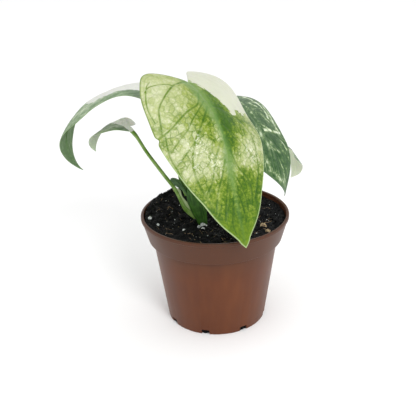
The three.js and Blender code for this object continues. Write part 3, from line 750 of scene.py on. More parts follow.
# Heading, pitch and roll are degrees at six even steps, from a quarter length behind the joint
# to the tip. Fold and curl are given for the left and right half, at the lobe, middle and tip.
LEAVES = {
    "front": {
        "joint": (-17.8, -18.4, 203.2), "length": 132.5, "half_width": 52.4,
        "heading": (-26, -40, -52, -61, -61, -59),
        "pitch": (13, -23, -47, -71, -67, -70),
        "roll": (-13, -5, -6, -3, -1, -6),
        "fold": ((3, -4, 1), (12, 1, 5)), "curl": ((-2, -36, -21), (-26, -32, -20)),
        "wave": (0.7, 2.3, 0.1), "blunt": 0.3, "rib": 1.5, "grid": (300, 76),
        "pucker": 0.16, "round_tip": 0.014, "notch": (-1, 0.31, 0.035),
        "veins": ((0.05, 0.15, 0.25, 0.34, 0.42, 0.49, 0.55, 0.61, 0.67, 0.73, 0.79, 0.85, 0.91),
                  (0.06, 0.16, 0.25, 0.35, 0.45, 0.5, 0.57, 0.66, 0.72, 0.78, 0.84, 0.9)),
        "stalk": ((-18, -10, 112), (-17.6, -11, 126), (-16.5, -10.5, 145), (-16.5, -9.5, 170),
                  (-18, -12.5, 192)),
        "stalk_radius": 1.9,
    },
    "left": {
        "joint": (-54.3, 1.4, 192.3), "length": 109, "half_width": 40.7,
        "heading": (160, 169, 177, 182, 179, 185),
        "pitch": (40, 10, -21, -42, -90, -140),
        "roll": (0, 12, 10, 8, 9, 1),
        "fold": ((6, -1, -1), (10, 6, 5)), "curl": ((-4, -18, -18), (-1, -9, -17)),
        "wave": (0.6, 2, 0.4), "blunt": 0.1, "rib": 1.3, "grid": (240, 60),
        "veins": ((0.05, 0.15, 0.25, 0.34, 0.43, 0.51, 0.59, 0.67, 0.75, 0.83, 0.9),
                  (0.08, 0.19, 0.29, 0.39, 0.47, 0.55, 0.63, 0.71, 0.79, 0.86, 0.93)),
        "stalk": ((-20.5, -7.5, 110), (-25.2, -6.2, 122), (-29.6, -4, 136), (-36, -2, 154.5),
                  (-45, 0, 174), (-52.5, 1, 187)),
        "stalk_radius": 1.6,
    },
    "small_left": {
        "joint": (-64.2, -1.7, 165.5), "length": 43, "half_width": 20.6,
        "heading": (192, 189, 185, 177, 171, 174),
        "pitch": (36, 19, -4, -29, -69, -115),
        "roll": (9, 5, 12, 9, 13, 12),
        "fold": ((7, 2, 4), (11, 7, 5)), "curl": ((-6, -16, -16), (0, -8, -14)),
        "wave": (0.3, 1.6, 0.2), "blunt": 0.2, "rib": 0.9, "grid": (120, 36), "near_lobe": 0.25,
        "veins": ((0.08, 0.21, 0.33, 0.44, 0.54, 0.64, 0.74, 0.84, 0.93),
                  (0.11, 0.25, 0.37, 0.48, 0.58, 0.68, 0.78, 0.87, 0.95)),
        "stalk": ((-15, -10.5, 92), (-22.6, -9.6, 98.8), (-26.8, -7.8, 105.5), (-31, -5.6, 113.6),
                  (-39.4, -4, 125.4), (-52.4, -2.4, 144.6), (-60, -1.8, 158)),
        "stalk_radius": 1.4,
    },
    "right": {
        "joint": (15.1, 47.4, 168.8), "length": 97.3, "half_width": 38.5,
        "heading": (-8, -12, -15, -19, -24, -21),
        "pitch": (8, -21, -49, -60, -69, -97),
        "roll": (-13, -5, 2, 3, 6, -8),
        "fold": ((4, 7, 6), (3, -4, 1)), "curl": ((-18, -12, -20), (-20, -28, -27)),
        "wave": (0.6, 2.1, 0.7), "blunt": 0.1, "rib": 1.3, "grid": (220, 56),
        "veins": ((0.05, 0.15, 0.25, 0.34, 0.43, 0.51, 0.59, 0.67, 0.75, 0.83, 0.9),
                  (0.08, 0.19, 0.29, 0.39, 0.47, 0.55, 0.63, 0.71, 0.79, 0.86, 0.93)),
        "stalk": ((-16, -7.5, 112), (-13, -2.5, 125), (-6, 10, 140), (3, 28, 152.5), (10.5, 42, 161.5)),
        "stalk_radius": 1.5,
    },
    "back_right": {
        "joint": (49.8, 80.7, 120.3), "length": 54, "half_width": 24.8,
        "heading": (28, 24, 14, 3, 10, 13),
        "pitch": (34, 6, -23, -54, -93, -137),
        "roll": (-12, -15, -15, -7, -14, -15),
        "fold": ((3, 3, 3), (4, 0, 4)), "curl": ((-15, -15, -15), (-13, -20, -17)),
        "wave": (0.3, 1.7, 0.5), "blunt": 0.2, "rib": 1.0, "grid": (130, 40),
        "veins": ((0.08, 0.21, 0.33, 0.44, 0.54, 0.64, 0.74, 0.84, 0.93),
                  (0.11, 0.25, 0.37, 0.48, 0.58, 0.68, 0.78, 0.87, 0.95)),
        "stalk": ((-12, -9, 100), (-5, -2, 107), (8, 16, 113.5), (26, 44, 117), (40, 66, 115.5)),
        "stalk_radius": 1.3,
    },
}


def rib_frame(leaf, x):
    """The midrib's direction, the leaf's left and its upper side at shares x of its length."""
    t = (np.asarray(x, float) - RIB_START) / (1 - RIB_START)
    heading, pitch, roll = (np.radians(keyed(leaf[key], t)) for key in ("heading", "pitch", "roll"))
    flat = np.cos(pitch)
    ahead = np.stack([flat * np.cos(heading), flat * np.sin(heading), np.sin(pitch)], -1)
    level = np.stack([-np.sin(heading), np.cos(heading), np.zeros_like(heading)], -1)
    over = np.cross(ahead, level)
    cos, sin = np.cos(roll)[..., None], np.sin(roll)[..., None]
    return ahead, level * cos + over * sin, over * cos - level * sin


def rib_line(leaf):
    """Points along the midrib, walked in short steps from the joint both ways."""
    step = (1 - RIB_START) / RIB_STEPS
    middles = rib_frame(leaf, RIB_START + (np.arange(RIB_STEPS) + 0.5) * step)[0]
    line = np.concatenate([[(0, 0, 0)], np.cumsum(middles * step * leaf["length"], axis=0)])
    return line - line[round(-RIB_START / step)] + np.array(leaf["joint"])


def blade_point(leaf, line, x, y):
    """Points of the blade's middle surface at shares x of the length and y of the half width."""
    t = (x - RIB_START) / (1 - RIB_START)
    half = leaf["half_width"]
    pick = [np.where(y < 0, keyed(leaf[key][1], t), keyed(leaf[key][0], t)) for key in ("fold", "curl")]
    fold, curl = (np.radians(angles) for angles in pick)
    curl = np.where(np.abs(curl) < 1e-6, 1e-4, curl)
    v = np.abs(y)
    out = (np.sin(fold + curl * v) - np.sin(fold)) / curl * half
    height, count, start = leaf["wave"]
    wave = height * v * v * np.sin(2 * np.pi * (count * x + start) + 1.3 * np.sign(y))
    rise = (np.cos(fold) - np.cos(fold + curl * v)) / curl * half + wave
    place = np.clip(t, 0, 1) * RIB_STEPS
    i = np.minimum(place.astype(int), RIB_STEPS - 1)
    f = (place - i)[..., None]
    _, left, up = rib_frame(leaf, x)
    side = np.where(y < 0, -out, out)[..., None]
    return line[i] * (1 - f) + line[i + 1] * f + left * side + up * rise[..., None]


def rib_foot(t):
    """Where a cross line at the step t along the outline leaves the midrib."""
    return 0.03 * t + 0.97 * t**2.2


def blade_place(leaf, side, t, f):
    """The shares x and y at the step t along the outline and the share f out from the midrib."""
    heart = np.array(HEART)
    out_x = keyed(heart[:, 0], t)
    out_y = np.maximum(keyed(heart[:, 1], t), 0) * (1 + leaf["blunt"] * smoothstep(0.7, 0.95, out_x))
    last = np.clip((out_x - 0.95) / 0.05, 0, 1)
    out_y = out_y + leaf.get("round_tip", 0) * 4 * last * (1 - last)
    if side > 0:
        out_x = np.where(out_x < 0, out_x * leaf.get("near_lobe", 1), out_x)
    if "notch" in leaf and side == leaf["notch"][0]:
        _, notch_at, notch_depth = leaf["notch"]
        out_y = out_y * (1 - notch_depth * np.exp(-(((out_x - notch_at) / 0.018) ** 2)))
    return rib_foot(t) + (out_x - rib_foot(t)) * f, side * out_y * f


def vein_index(leaf, side, t, f):
    """A number that is whole on each side vein, rises from the lobe to the tip, and lies
    between two whole numbers between two veins. A vein moves towards the tip as it goes out."""
    starts = np.linspace(-0.2, 1.25, 400)
    sweep = 0.08 + 0.17 * smoothstep(0.5, 0.1, starts)
    stops = np.array([-0.2, *leaf["veins"][0 if side > 0 else 1], 1.25])
    index = np.zeros_like(t)
    for k in range(t.shape[1]):
        start = np.interp(t[:, k], starts + f[0, k] * sweep, starts)
        index[:, k] = np.interp(start, stops, np.arange(len(stops)))
    return index


def away_from(flat, line):
    """How far flat points lie from a line through a few points, in millimetres."""
    spots = flat.reshape(-1, 2)
    nearest = np.full(len(spots), FAR)
    for a, b in zip(line[:-1], line[1:]):
        along = b - a
        share = np.clip((spots - a) @ along / max(along @ along, 1e-9), 0, 1)
        nearest = np.minimum(nearest, np.linalg.norm(spots - a - share[:, None] * along, axis=1))
    return nearest.reshape(flat.shape[:-1])


def flowing(leaf, places):
    """A smooth flat line in millimetres through places given as shares x and y."""
    places = np.array(places) * (leaf["length"], leaf["half_width"])
    t = np.linspace(0, 1, 6 * len(places))
    return np.stack([keyed(places[:, 0], t), keyed(places[:, 1], t)], -1)


def side_veins(leaf):
    """The main side veins, each with its width in millimetres and its flat line."""
    if "drawn_veins" in leaf:
        return [(width, flowing(leaf, places)) for width, places in leaf["drawn_veins"]]
    lines = []
    f = np.linspace(0.02, 0.96, 14)
    for side in (1, -1):
        for start in leaf["veins"][0 if side > 0 else 1]:
            t = start + f * (0.08 + 0.17 * smoothstep(0.5, 0.1, start))
            x, y = blade_place(leaf, side, np.minimum(t, 0.99), f)
            lines.append((leaf["rib"] * 0.6, np.stack([x * leaf["length"], y * leaf["half_width"]], -1)))
    return lines


def pucker(flat, cell):
    """Small dimples and blisters between the finest veins, from -1 to 1."""
    spots = flat.reshape(-1, 2) / cell
    coarse = [noise.noise(Vector((u, v, 0.5))) for u, v in spots]
    fine = [noise.noise(Vector((2 * u, 2 * v, 7))) for u, v in spots]
    return (np.array(coarse) + 0.5 * np.array(fine)).reshape(flat.shape[:-1])


def blade_mesh(leaf):
    """A blade's points, faces and what its skin needs to know: place, veins and which side."""
    line = rib_line(leaf)
    rows, half_columns = leaf["grid"]
    t = np.linspace(0, 1, rows + 1)
    f = 1 - (1 - np.linspace(0, 1, half_columns + 1)) ** CLOSER_OUT
    f = np.concatenate([f[:-1], [1 - 0.4 * (1 - f[-2]), 1]])
    sides = np.concatenate([np.full(len(f) - 1, 1), np.full(len(f), -1)])
    across = np.concatenate([f[:0:-1], f])
    every_t, every_f = np.meshgrid(t, across, indexing="ij")
    x, y, index = (np.zeros_like(every_t) for _ in range(3))
    for side in (1, -1):
        some = sides == side
        x[:, some], y[:, some] = blade_place(leaf, side, every_t[:, some], every_f[:, some])
        index[:, some] = vein_index(leaf, side, every_t[:, some], every_f[:, some])
    flat = np.stack([x * leaf["length"], y * leaf["half_width"]], -1)
    edge = np.full(every_t.shape, FAR)
    for side in (1, -1):
        outline = blade_place(leaf, side, np.linspace(0, 1, OUTLINE_POINTS), np.ones(OUTLINE_POINTS))
        rim = np.stack([outline[0] * leaf["length"], outline[1] * leaf["half_width"]], -1)
        some = sides == side
        for row in range(rows + 1):
            gaps = np.linalg.norm(flat[row, some][:, None] - rim[None], axis=2)
            edge[row, some] = gaps.min(1)
    # The blade puffs up a little between its side veins, and the midrib lies in a channel.
    from_vein, in_widths = np.full((2, *every_t.shape), FAR)
    for vein_width, line_of_vein in side_veins(leaf):
        away = away_from(flat, line_of_vein)
        from_vein = np.minimum(from_vein, away)
        in_widths = np.minimum(in_widths, away / vein_width)
    fade = smoothstep(0.3, 5, edge) * smoothstep(0, 4, np.abs(flat[..., 1]))
    size = leaf["half_width"] / LARGEST
    puff = -VALLEY * np.exp(-((from_vein / (1.3 * size)) ** 2)) * fade * smoothstep(1, 0.8, every_f)
    channel = -CHANNEL * size * np.exp(-((flat[..., 1] / (1.7 * size)) ** 2)) * smoothstep(1.0, 0.8, x)
    dimpled = leaf.get("pucker", 0.05) * pucker(flat, DIMPLES) * smoothstep(0.5, 4, edge)
    relief = puff + channel + dimpled - SINK
    ridge_depth = leaf["rib"] * (1 - 0.85 * np.clip(x, 0, 1))
    ridge = ridge_depth * np.sqrt(np.clip(1 - (flat[..., 1] / (0.75 * ridge_depth + 0.6)) ** 2, 0, 1))
    ridge = ridge * smoothstep(-0.02, 0.03, x)
    half = HALF_BLADE * np.sqrt(np.clip(1 - (1 - np.clip(edge / EDGE_ROUND, 0, 1)) ** 2, 0.04, 1))
    centre = blade_point(leaf, line, x, y)
    toward_tip = blade_point(leaf, line, x + NEAR, y) - blade_point(leaf, line, x - NEAR, y)
    toward_left = blade_point(leaf, line, x, y + NEAR) - blade_point(leaf, line, x, y - NEAR)
    normal = np.cross(toward_tip, toward_left)
    normal /= np.maximum(np.linalg.norm(normal, axis=-1, keepdims=True), 1e-9)
    top = centre + normal * (half + relief)[..., None]
    under = centre + normal * (relief - half - ridge)[..., None]
    count, width = every_t.shape
    points = np.concatenate([top.reshape(-1, 3), under.reshape(-1, 3)])
    number = np.arange(count * width).reshape(count, width)
    below = number + count * width
    face_sets = [
        (number[:-1, :-1], number[1:, :-1], number[1:, 1:], number[:-1, 1:]),
        (below[:-1, :-1], below[:-1, 1:], below[1:, 1:], below[1:, :-1]),
        (number[:-1, 0], below[:-1, 0], below[1:, 0], number[1:, 0]),
        (number[1:, -1], below[1:, -1], below[:-1, -1], number[:-1, -1]),
    ]
    faces = np.concatenate([np.stack(corners, -1).reshape(-1, 4) for corners in face_sets])
    face_side = np.concatenate([np.ones(count * width), np.zeros(count * width)])
    flat_x, flat_y, index, in_widths, edge, x, y = (
        np.tile(values.ravel(), 2) for values in (flat[..., 0], flat[..., 1], index, in_widths, edge, x, y)
    )
    fields = {
        "leaf_place": np.stack([flat_x, flat_y, face_side], 1),
        "leaf_veins": np.stack([index, in_widths, edge], 1),
    }
    return points, faces, fields, x, y


# Stalks
# Each leaf stands on a slim round stalk. Its foot widens to a sheath that wraps the stem, and
# its top swells a little where it bends into the blade.

# Plant skin, grown: smooth, waxy mid green with faint lengthwise stripes.
stalk_skin = green_skin("waxy_stalk_skin", "#5a8128", "#90ae62", stripe_width=0.7, roughness=0.42)

for name, leaf in LEAVES.items():
    _, _, up = rib_frame(leaf, 0.0)
    under = SOLID_HALF_BLADE + leaf["rib"] + 1.3 * CLEAR
    joint = np.array(leaf["joint"]) - up * under
    line, ahead, at = curve_through([*leaf["stalk"], tuple(joint)], step=0.9)
    total = at[-1]
    rings, round_and_along = [], []
    for k in range(len(line)):
        t = at[k] / total
        foot = 1 - smoothstep(6, 6 + SHEATH, at[k])
        swell = smoothstep(total - 12, total - 5, at[k]) * SWELL
        slim = leaf["stalk_radius"] * (1.12 - 0.2 * t + swell)
        wide, deep = slim * (1 + FOOT_WIDER * foot), slim * (1 + FOOT_DEEPER * foot)
        ring = route_ring(line[k], ahead[k], wide, deep, STALK_SIDES)
        if k == len(line) - 1:
            lift = (joint - ring) @ up / (ahead[k] @ up)
            ring = ring + ahead[k] * lift[:, None]
        rings.append(ring)
        round_and_along.append(skin_places(reach=2, sides=STALK_SIDES, along=at[k]))
    stalk = new_piece(f"leaf_stalk_{name}", *loft(rings), stalk_skin, sharp=50)
    store(stalk, "round_and_along", np.concatenate(round_and_along))
    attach(stalk, "root")
    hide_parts(f"stalk_{name}")


# Sheath wing
# The foot of the small left leaf's stalk has a thin pale margin, the free edge of its sheath.
# It runs up the stalk's right side and ends in a small point.

WING_FROM = 3  # millimetres up the stalk
WING_POINT = 28.5
WING_WIDTH = [1.2, 3.4, 3.0, 2.2, 1.5, 1.1, 1.0, 1.9, 0.3]
WING_THICK = 0.3
WING_SIDES = 20

# Plant skin, grown thin: pale and nearly colourless, with faint stripes.
wing_skin = green_skin("thin_sheath_margin", "#8ea46c", "#bcc99e", stripe_width=0.7, roughness=0.45)
wing_stalk = LEAVES["small_left"]
line, ahead, at = curve_through(wing_stalk["stalk"], step=0.5)
rings, round_and_along = [], []
for k in range(len(line)):
    if not WING_FROM <= at[k] <= WING_POINT:
        continue
    share = (at[k] - WING_FROM) / (WING_POINT - WING_FROM)
    width = float(keyed(WING_WIDTH, share))
    foot = 1 - float(smoothstep(6, 6 + SHEATH, at[k]))
    slim = wing_stalk["stalk_radius"] * 1.1 * (1 + FOOT_WIDER * foot)
    across = np.cross((0, -1, 0), ahead[k])
    across /= np.linalg.norm(across)
    middle = line[k] - across * (slim - 0.5 + width / 2) + np.array((0, -0.5 - 1.7 * foot, 0))
    rings.append(route_ring(middle, ahead[k], 0.5 + width / 2, WING_THICK, WING_SIDES))
    round_and_along.append(skin_places(reach=2, sides=WING_SIDES, along=at[k]))
wing = new_piece("sheath_wing", *loft(rings), wing_skin, sharp=60)
store(wing, "round_and_along", np.concatenate(round_and_along))
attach(wing, "root")


# Blades
# Leaf blades, grown: a waxy skin over green and colourless tissue. The pale tissue has no
# chlorophyll, and it lies in sectors and streaks that follow the side veins.

UNSIGNED = {"operation": "ABSOLUTE"}
LARGER = {"operation": "MAXIMUM"}
TIMES_PLUS = {"operation": "MULTIPLY_ADD"}
FINE_WIDTH = 2.0  # the finest cells are about 1 mm wide, drawn coarser so that they show
BEND_WIDTH = 5
STEP_WIDTH = 4.5


def blade_skin(name, look):
    """A blade's skin. look gives its colours and how strongly each marking shows."""
    material, tree, shader = new_material(name)
    place, veins, zones, marks = (
        add(tree, "Attribute", {"attribute_name": f"leaf_{kind}"}).outputs["Vector"]
        for kind in ("place", "veins", "zones", "marks")
    )
    _, across_leaf, upper_side = add(tree, "SeparateXYZ", inputs={0: place}).outputs
    index, vein_gap, edge = add(tree, "SeparateXYZ", inputs={0: veins}).outputs
    green_zone, cream_zone, band_zone = add(tree, "SeparateXYZ", inputs={0: zones}).outputs
    speckle_zone, rim_zone, painted_glint_zone = add(tree, "SeparateXYZ", inputs={0: marks}).outputs
    out = add(tree, "Math", UNSIGNED, {0: across_leaf})
    side = add(tree, "Math", {"operation": "SIGN"}, {0: across_leaf})

    # Streaks run along the side veins, so their pattern is stretched that way.
    streak_place = add(
        tree,
        "CombineXYZ",
        inputs={
            0: add(tree, "Math", TIMES, {0: index, 1: 8}),
            1: add(tree, "Math", TIMES, {0: out, 1: 0.3}),
            2: add(tree, "Math", TIMES_PLUS, {0: side, 1: 60, 2: look["seed"]}),
        },
    )
    streaks = add(tree, "TexNoise", inputs={0: streak_place, "Detail": 5, "Roughness": 0.62})
    fill(tree, streaks, {"Scale": 1 / look["streak_width"]})
    patches = add(tree, "TexNoise", inputs={0: place, "Detail": 4, "Roughness": 0.6})
    fill(tree, patches, {"Scale": 1 / look["patch_width"]})
    fine = add(tree, "TexNoise", inputs={0: place, "Scale": 1 / FINE_WIDTH, "Detail": 3, "Roughness": 0.65})

    # The net of fine veins, true to life in its coarser cells and drawn coarser in its finer
    # ones, bent by a little noise. Each cell between the veins has its own share of green.
    bend = add(tree, "TexNoise", inputs={0: place, "Scale": 1 / BEND_WIDTH, "Detail": 3})
    bend_out = add(tree, "VectorMath", {"operation": "SCALE"}, {0: bend.outputs["Color"], "Scale": 3.5})
    bent = add(tree, "VectorMath", PLUS, {0: place, 1: bend_out})
    net_parts = []
    for cell, high in ((look["cell"], 0.2), (look["cell"] * 0.45, 0.3)):
        cells = add(tree, "TexVoronoi", {"feature": "DISTANCE_TO_EDGE"}, {0: bent, "Scale": 1 / cell})
        net_parts.append(add(tree, "MapRange", inputs={0: cells, 1: 0.02, 2: high, 3: 1, 4: 0}))
    finer_net = add(tree, "Math", TIMES, {0: net_parts[1], 1: 0.55})
    net = add(tree, "Math", LARGER, {0: net_parts[0], 1: finer_net})
    net_clear = add(tree, "MapRange", inputs={0: patches, 1: 0.38, 2: 0.58, 3: 0.35, 4: 1})
    net_shown = add(tree, "Math", TIMES, {0: net, 1: net_clear})
    areoles = add(tree, "TexVoronoi", inputs={0: bent, "Scale": 1 / look["cell"]})
    areole_tone = add(tree, "SeparateXYZ", inputs={0: areoles.outputs["Color"]})

    streaky = add(tree, "Math", TIMES_PLUS, {0: streaks, 1: look["streaks"], 2: -0.5 * look["streaks"]})
    patchy = add(tree, "Math", TIMES_PLUS, {0: patches, 1: look["patches"], 2: -0.5 * look["patches"]})
    areole_share = add(tree, "Math", TIMES, {0: areole_tone, 1: 0.25})
    speckle = add(tree, "Math", TIMES_PLUS, {0: fine, 1: 1.5, 2: areole_share})
    speckle = add(tree, "Math", TIMES_PLUS, {0: speckle, 1: 1.2, 2: -1.05})
    zone_and_streaks = add(tree, "Math", PLUS, {0: green_zone, 1: streaky})
    green = add(tree, "Math", PLUS, {0: zone_and_streaks, 1: patchy})
    speckled = add(tree, "Math", TIMES, {0: speckle, 1: speckle_zone})
    green = add(tree, "Math", {"operation": "ADD", "use_clamp": True}, {0: green, 1: speckled})
    tissue = add(tree, "ValToRGB", {"stops": look["tissue"]}, {0: green})
    vein_tint = add(tree, "ValToRGB", {"stops": look["vein"]}, {0: green})

    # Side veins, about 1 to 3 mm wide with their soft edges, and fainter here and there. A faint
    # line follows the blade's edge and joins their ends.
    uneven = add(tree, "MapRange", inputs={0: fine, 1: 0.3, 2: 0.7, 3: 0.7, 4: 1.35})
    from_vein = add(tree, "Math", TIMES, {0: vein_gap, 1: uneven})
    broken = add(tree, "MapRange", inputs={0: patches, 1: 0.38, 2: 0.56, 3: 0.6, 4: 1})
    vein_core = add(tree, "MapRange", inputs={0: from_vein, 1: 0.3, 2: 1.0, 3: look["laterals"], 4: 0})
    vein_line = add(tree, "Math", TIMES, {0: vein_core, 1: broken})
    vein_halo = add(tree, "MapRange", inputs={0: from_vein, 1: 0.3, 2: 3.2, 3: look["halo"], 4: 0})
    hem_side = add(tree, "Math", {"operation": "SUBTRACT"}, {0: edge, 1: look["hem"]})
    hem_away = add(tree, "Math", UNSIGNED, {0: hem_side})
    hem_core = add(tree, "MapRange", inputs={0: hem_away, 1: 0.15, 2: 0.7, 3: 0.5, 4: 0})
    hem_line = add(tree, "Math", TIMES, {0: hem_core, 1: broken})
    drawn = add(tree, "Math", LARGER, {0: vein_line, 1: vein_halo})
    drawn = add(tree, "Math", LARGER, {0: drawn, 1: hem_line})
    net_share = add(tree, "Math", TIMES, {0: net_shown, 1: look["net"]})
    net_share = add(tree, "Math", TIMES, {0: net_share, 1: speckle_zone})
    lines = add(tree, "Math", {"operation": "MAXIMUM", "use_clamp": True}, {0: drawn, 1: net_share})
    colour = add(tree, "Mix", COLOURS, {0: lines, 6: tissue, 7: vein_tint})

    # Painted highlights: pale spots in the spot colour where the raised tissue between the finest veins
    # catches the light.
    painted_glint = add(tree, "MapRange", inputs={0: fine, 1: 0.53, 2: 0.66, 3: 0, 4: look["spots"]})
    painted_glint = add(tree, "Math", TIMES, {0: painted_glint, 1: painted_glint_zone})
    where_pale = add(tree, "MapRange", inputs={0: green, 1: 0.35, 2: 0.7, 3: 1, 4: 0})
    painted_glint = add(tree, "Math", TIMES, {0: painted_glint, 1: where_pale})
    colour = add(tree, "Mix", COLOURS, {0: painted_glint, 6: colour, 7: linear(look["spot"])})

    # The midrib lies in a glaucous band with a soft, ragged edge.
    rag = add(tree, "Math", TIMES_PLUS, {0: fine, 1: 3.0, 2: -1.5})
    ragged_out = add(tree, "Math", PLUS, {0: out, 1: rag})
    band_inside = add(tree, "Math", {"operation": "SUBTRACT"}, {0: band_zone, 1: ragged_out})
    band = add(tree, "MapRange", inputs={0: band_inside, 1: -1.2, 2: 3.5, 3: 0, 4: look["band"]})
    colour = add(tree, "Mix", COLOURS, {0: band, 6: colour, 7: linear(look["rib"])})

    # The cream sector ends in small steps along the fine veins.
    steps = add(tree, "TexVoronoi", inputs={0: place, "Scale": 1 / STEP_WIDTH})
    step_height = add(tree, "SeparateXYZ", inputs={0: steps.outputs["Color"]})
    jagged = add(tree, "Math", TIMES_PLUS, {0: step_height, 1: look["jag"], 2: cream_zone})
    jagged = add(tree, "Math", PLUS, {0: jagged, 1: fine})
    border = 0.5 * look["jag"] + 0.5
    cream = add(tree, "MapRange", inputs={0: jagged, 1: border - 0.25, 2: border + 0.25, 3: 0, 4: 1})
    clouds = add(tree, "MapRange", inputs={0: patches, 1: 0.3, 2: 0.7, 3: 0, 4: 1})
    cream_low, cream_high = (linear(code) for code in look["cream"])
    cream_cloud = add(tree, "Mix", COLOURS, {0: clouds, 6: cream_low, 7: cream_high})
    colour = add(tree, "Mix", COLOURS, {0: cream, 6: colour, 7: cream_cloud})

    # The edge is a thin, clear line, pale where the blade is green and dark where it is pale.
    rim_low, rim_high = (linear(code) for code in look["rim"])
    rim_colour = add(tree, "Mix", COLOURS, {0: rim_zone, 6: rim_low, 7: rim_high})
    rim = add(tree, "MapRange", inputs={0: edge, 1: 0.5, 2: 1.1, 3: look["rim_share"], 4: 0})
    off_cream = add(tree, "MapRange", inputs={0: cream, 1: 0, 2: 1, 3: 1, 4: 0.15})
    rim = add(tree, "Math", TIMES, {0: rim, 1: off_cream})
    colour = add(tree, "Mix", COLOURS, {0: rim, 6: colour, 7: rim_colour})

    # The underside is paler and duller, but for the cream, which is the same on both sides.
    below = add(tree, "MapRange", inputs={0: upper_side, 1: 0, 2: 1, 3: look["under_share"], 4: 0})
    not_cream = add(tree, "MapRange", inputs={0: cream, 1: 0, 2: 1, 3: 1, 4: 0.1})
    below = add(tree, "Math", TIMES, {0: below, 1: not_cream})
    colour = add(tree, "Mix", COLOURS, {0: below, 6: colour, 7: linear(look["under"])})
    roughness = add(tree, "MapRange", inputs={0: upper_side, 1: 0, 2: 1, 3: 0.62, 4: look["roughness"]})
    height = add(tree, "Math", TIMES_PLUS, {0: fine, 1: 0.8, 2: net})
    relief = add(tree, "Bump", {"invert": True}, {"Strength": 0.5, "Distance": 0.15 * MM, "Height": height})
    fill(tree, shader, {"Base Color": colour, "Roughness": roughness, "Normal": relief})
    fill(tree, shader, {"Specular IOR Level": 0.22, "Subsurface Weight": 0.12})
    fill(tree, shader, {"Subsurface Radius": (0.8, 1.2, 0.3), "Subsurface Scale": 0.6 * MM})
    return material


def soft_spot(x, y, middle, reach):
    """1 at the middle of a soft oval spot, and 0 well outside its reach."""
    return np.exp(-(((x - middle[0]) / reach[0]) ** 2) - ((y - middle[1]) / reach[1]) ** 2)


def soft_streak(leaf, x, y, half_width, places):
    """1 along a soft streak through some places, and 0 well outside its half width in mm."""
    flat = np.stack([x * leaf["length"], y * leaf["half_width"]], -1)
    return np.exp(-((away_from(flat, flowing(leaf, places)) / half_width) ** 2))


def make_blade(name, look, zones):
    """A blade's piece, with its zones worked out from the shares x and y of each point."""
    leaf = LEAVES[name]
    points, faces, fields, x, y = blade_mesh(leaf)
    skin = blade_skin(f"waxy_{name}_blade_skin", look)
    piece = new_piece(f"leaf_blade_{name}", points, faces, skin, sharp=180)
    for field, values in fields.items():
        store(piece, field, values)
    zone = {"cream": -20, "speckle": 0.6, "rim": 1.0, "painted_glints": 0.0, **zones(leaf, x, y)}
    layers = {key: np.broadcast_to(value, x.shape) for key, value in zone.items()}
    store(piece, "leaf_zones", np.stack([layers[key] for key in ("green", "cream", "band")], 1))
    store(piece, "leaf_marks", np.stack([layers[key] for key in ("speckle", "rim", "painted_glints")], 1))
    shape = bmesh.new()
    shape.from_mesh(piece.data)
    bmesh.ops.remove_doubles(shape, verts=shape.verts, dist=1e-4 * MM)
    shape.to_mesh(piece.data)
    shape.free()
    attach(piece, "root")
    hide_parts(f"leaf_{name}")


# Front blade: mint, palest on its left half, saturated green towards its tip and on both sides
# of the midrib, with a cream sector on its right lobe. Its main veins are drawn one by one.
LEAVES["front"]["drawn_veins"] = [
    (1.3, [(0, -0.1), (0.01, -0.35), (0.06, -0.6), (0.12, -0.78), (0.19, -0.84), (0.29, -0.87)]),
    (0.9, [(0.01, -0.35), (-0.02, -0.48), (-0.04, -0.72), (-0.02, -0.84)]),
    (1.4, [(0.1, -0.04), (0.17, -0.19), (0.2, -0.42), (0.23, -0.57), (0.27, -0.74), (0.3, -0.92)]),
    (1.0, [(0.16, -0.06), (0.25, -0.38), (0.3, -0.5), (0.34, -0.63), (0.39, -0.76)]),
    (1.6, [(0.2, -0.06), (0.27, -0.23), (0.34, -0.38), (0.4, -0.47), (0.5, -0.53), (0.6, -0.5),
           (0.68, -0.43), (0.77, -0.37)]),
    (1.4, [(0.4, -0.06), (0.46, -0.15), (0.53, -0.23), (0.61, -0.3), (0.68, -0.43)]),
    (1.3, [(0.5, -0.05), (0.58, -0.13), (0.65, -0.22), (0.7, -0.28), (0.78, -0.34)]),
    (1.2, [(0.58, -0.03), (0.64, -0.08), (0.7, -0.13), (0.76, -0.18), (0.83, -0.23)]),
    (1.0, [(0.7, -0.02), (0.78, -0.08), (0.85, -0.13), (0.91, -0.12)]),
    (0.9, [(-0.07, -0.66), (-0.04, -0.78), (0.04, -0.9), (0.12, -0.94), (0.2, -0.92)]),
    (1.2, [(0.3, -0.83), (0.36, -0.83), (0.44, -0.81), (0.5, -0.76), (0.57, -0.7), (0.64, -0.6),
           (0.7, -0.5), (0.76, -0.4)]),
    (0.9, [(0.37, -0.43), (0.42, -0.56), (0.46, -0.66), (0.5, -0.76)]),
    (0.9, [(0.54, -0.54), (0.57, -0.62), (0.61, -0.68)]),
    (1.2, [(0.2, 0.06), (0.24, 0.28), (0.32, 0.51), (0.39, 0.59), (0.46, 0.6), (0.52, 0.57), (0.6, 0.53),
           (0.67, 0.44), (0.75, 0.33)]),
    (1.0, [(0.3, 0.05), (0.38, 0.2), (0.47, 0.38), (0.56, 0.5)]),
    (1.3, [(0.46, 0.05), (0.56, 0.14), (0.6, 0.22), (0.65, 0.29), (0.71, 0.3), (0.78, 0.25)]),
    (1.2, [(0.58, 0.04), (0.65, 0.12), (0.72, 0.17), (0.81, 0.17)]),
    (1.0, [(0.68, 0.03), (0.75, 0.08), (0.86, 0.1)]),
]


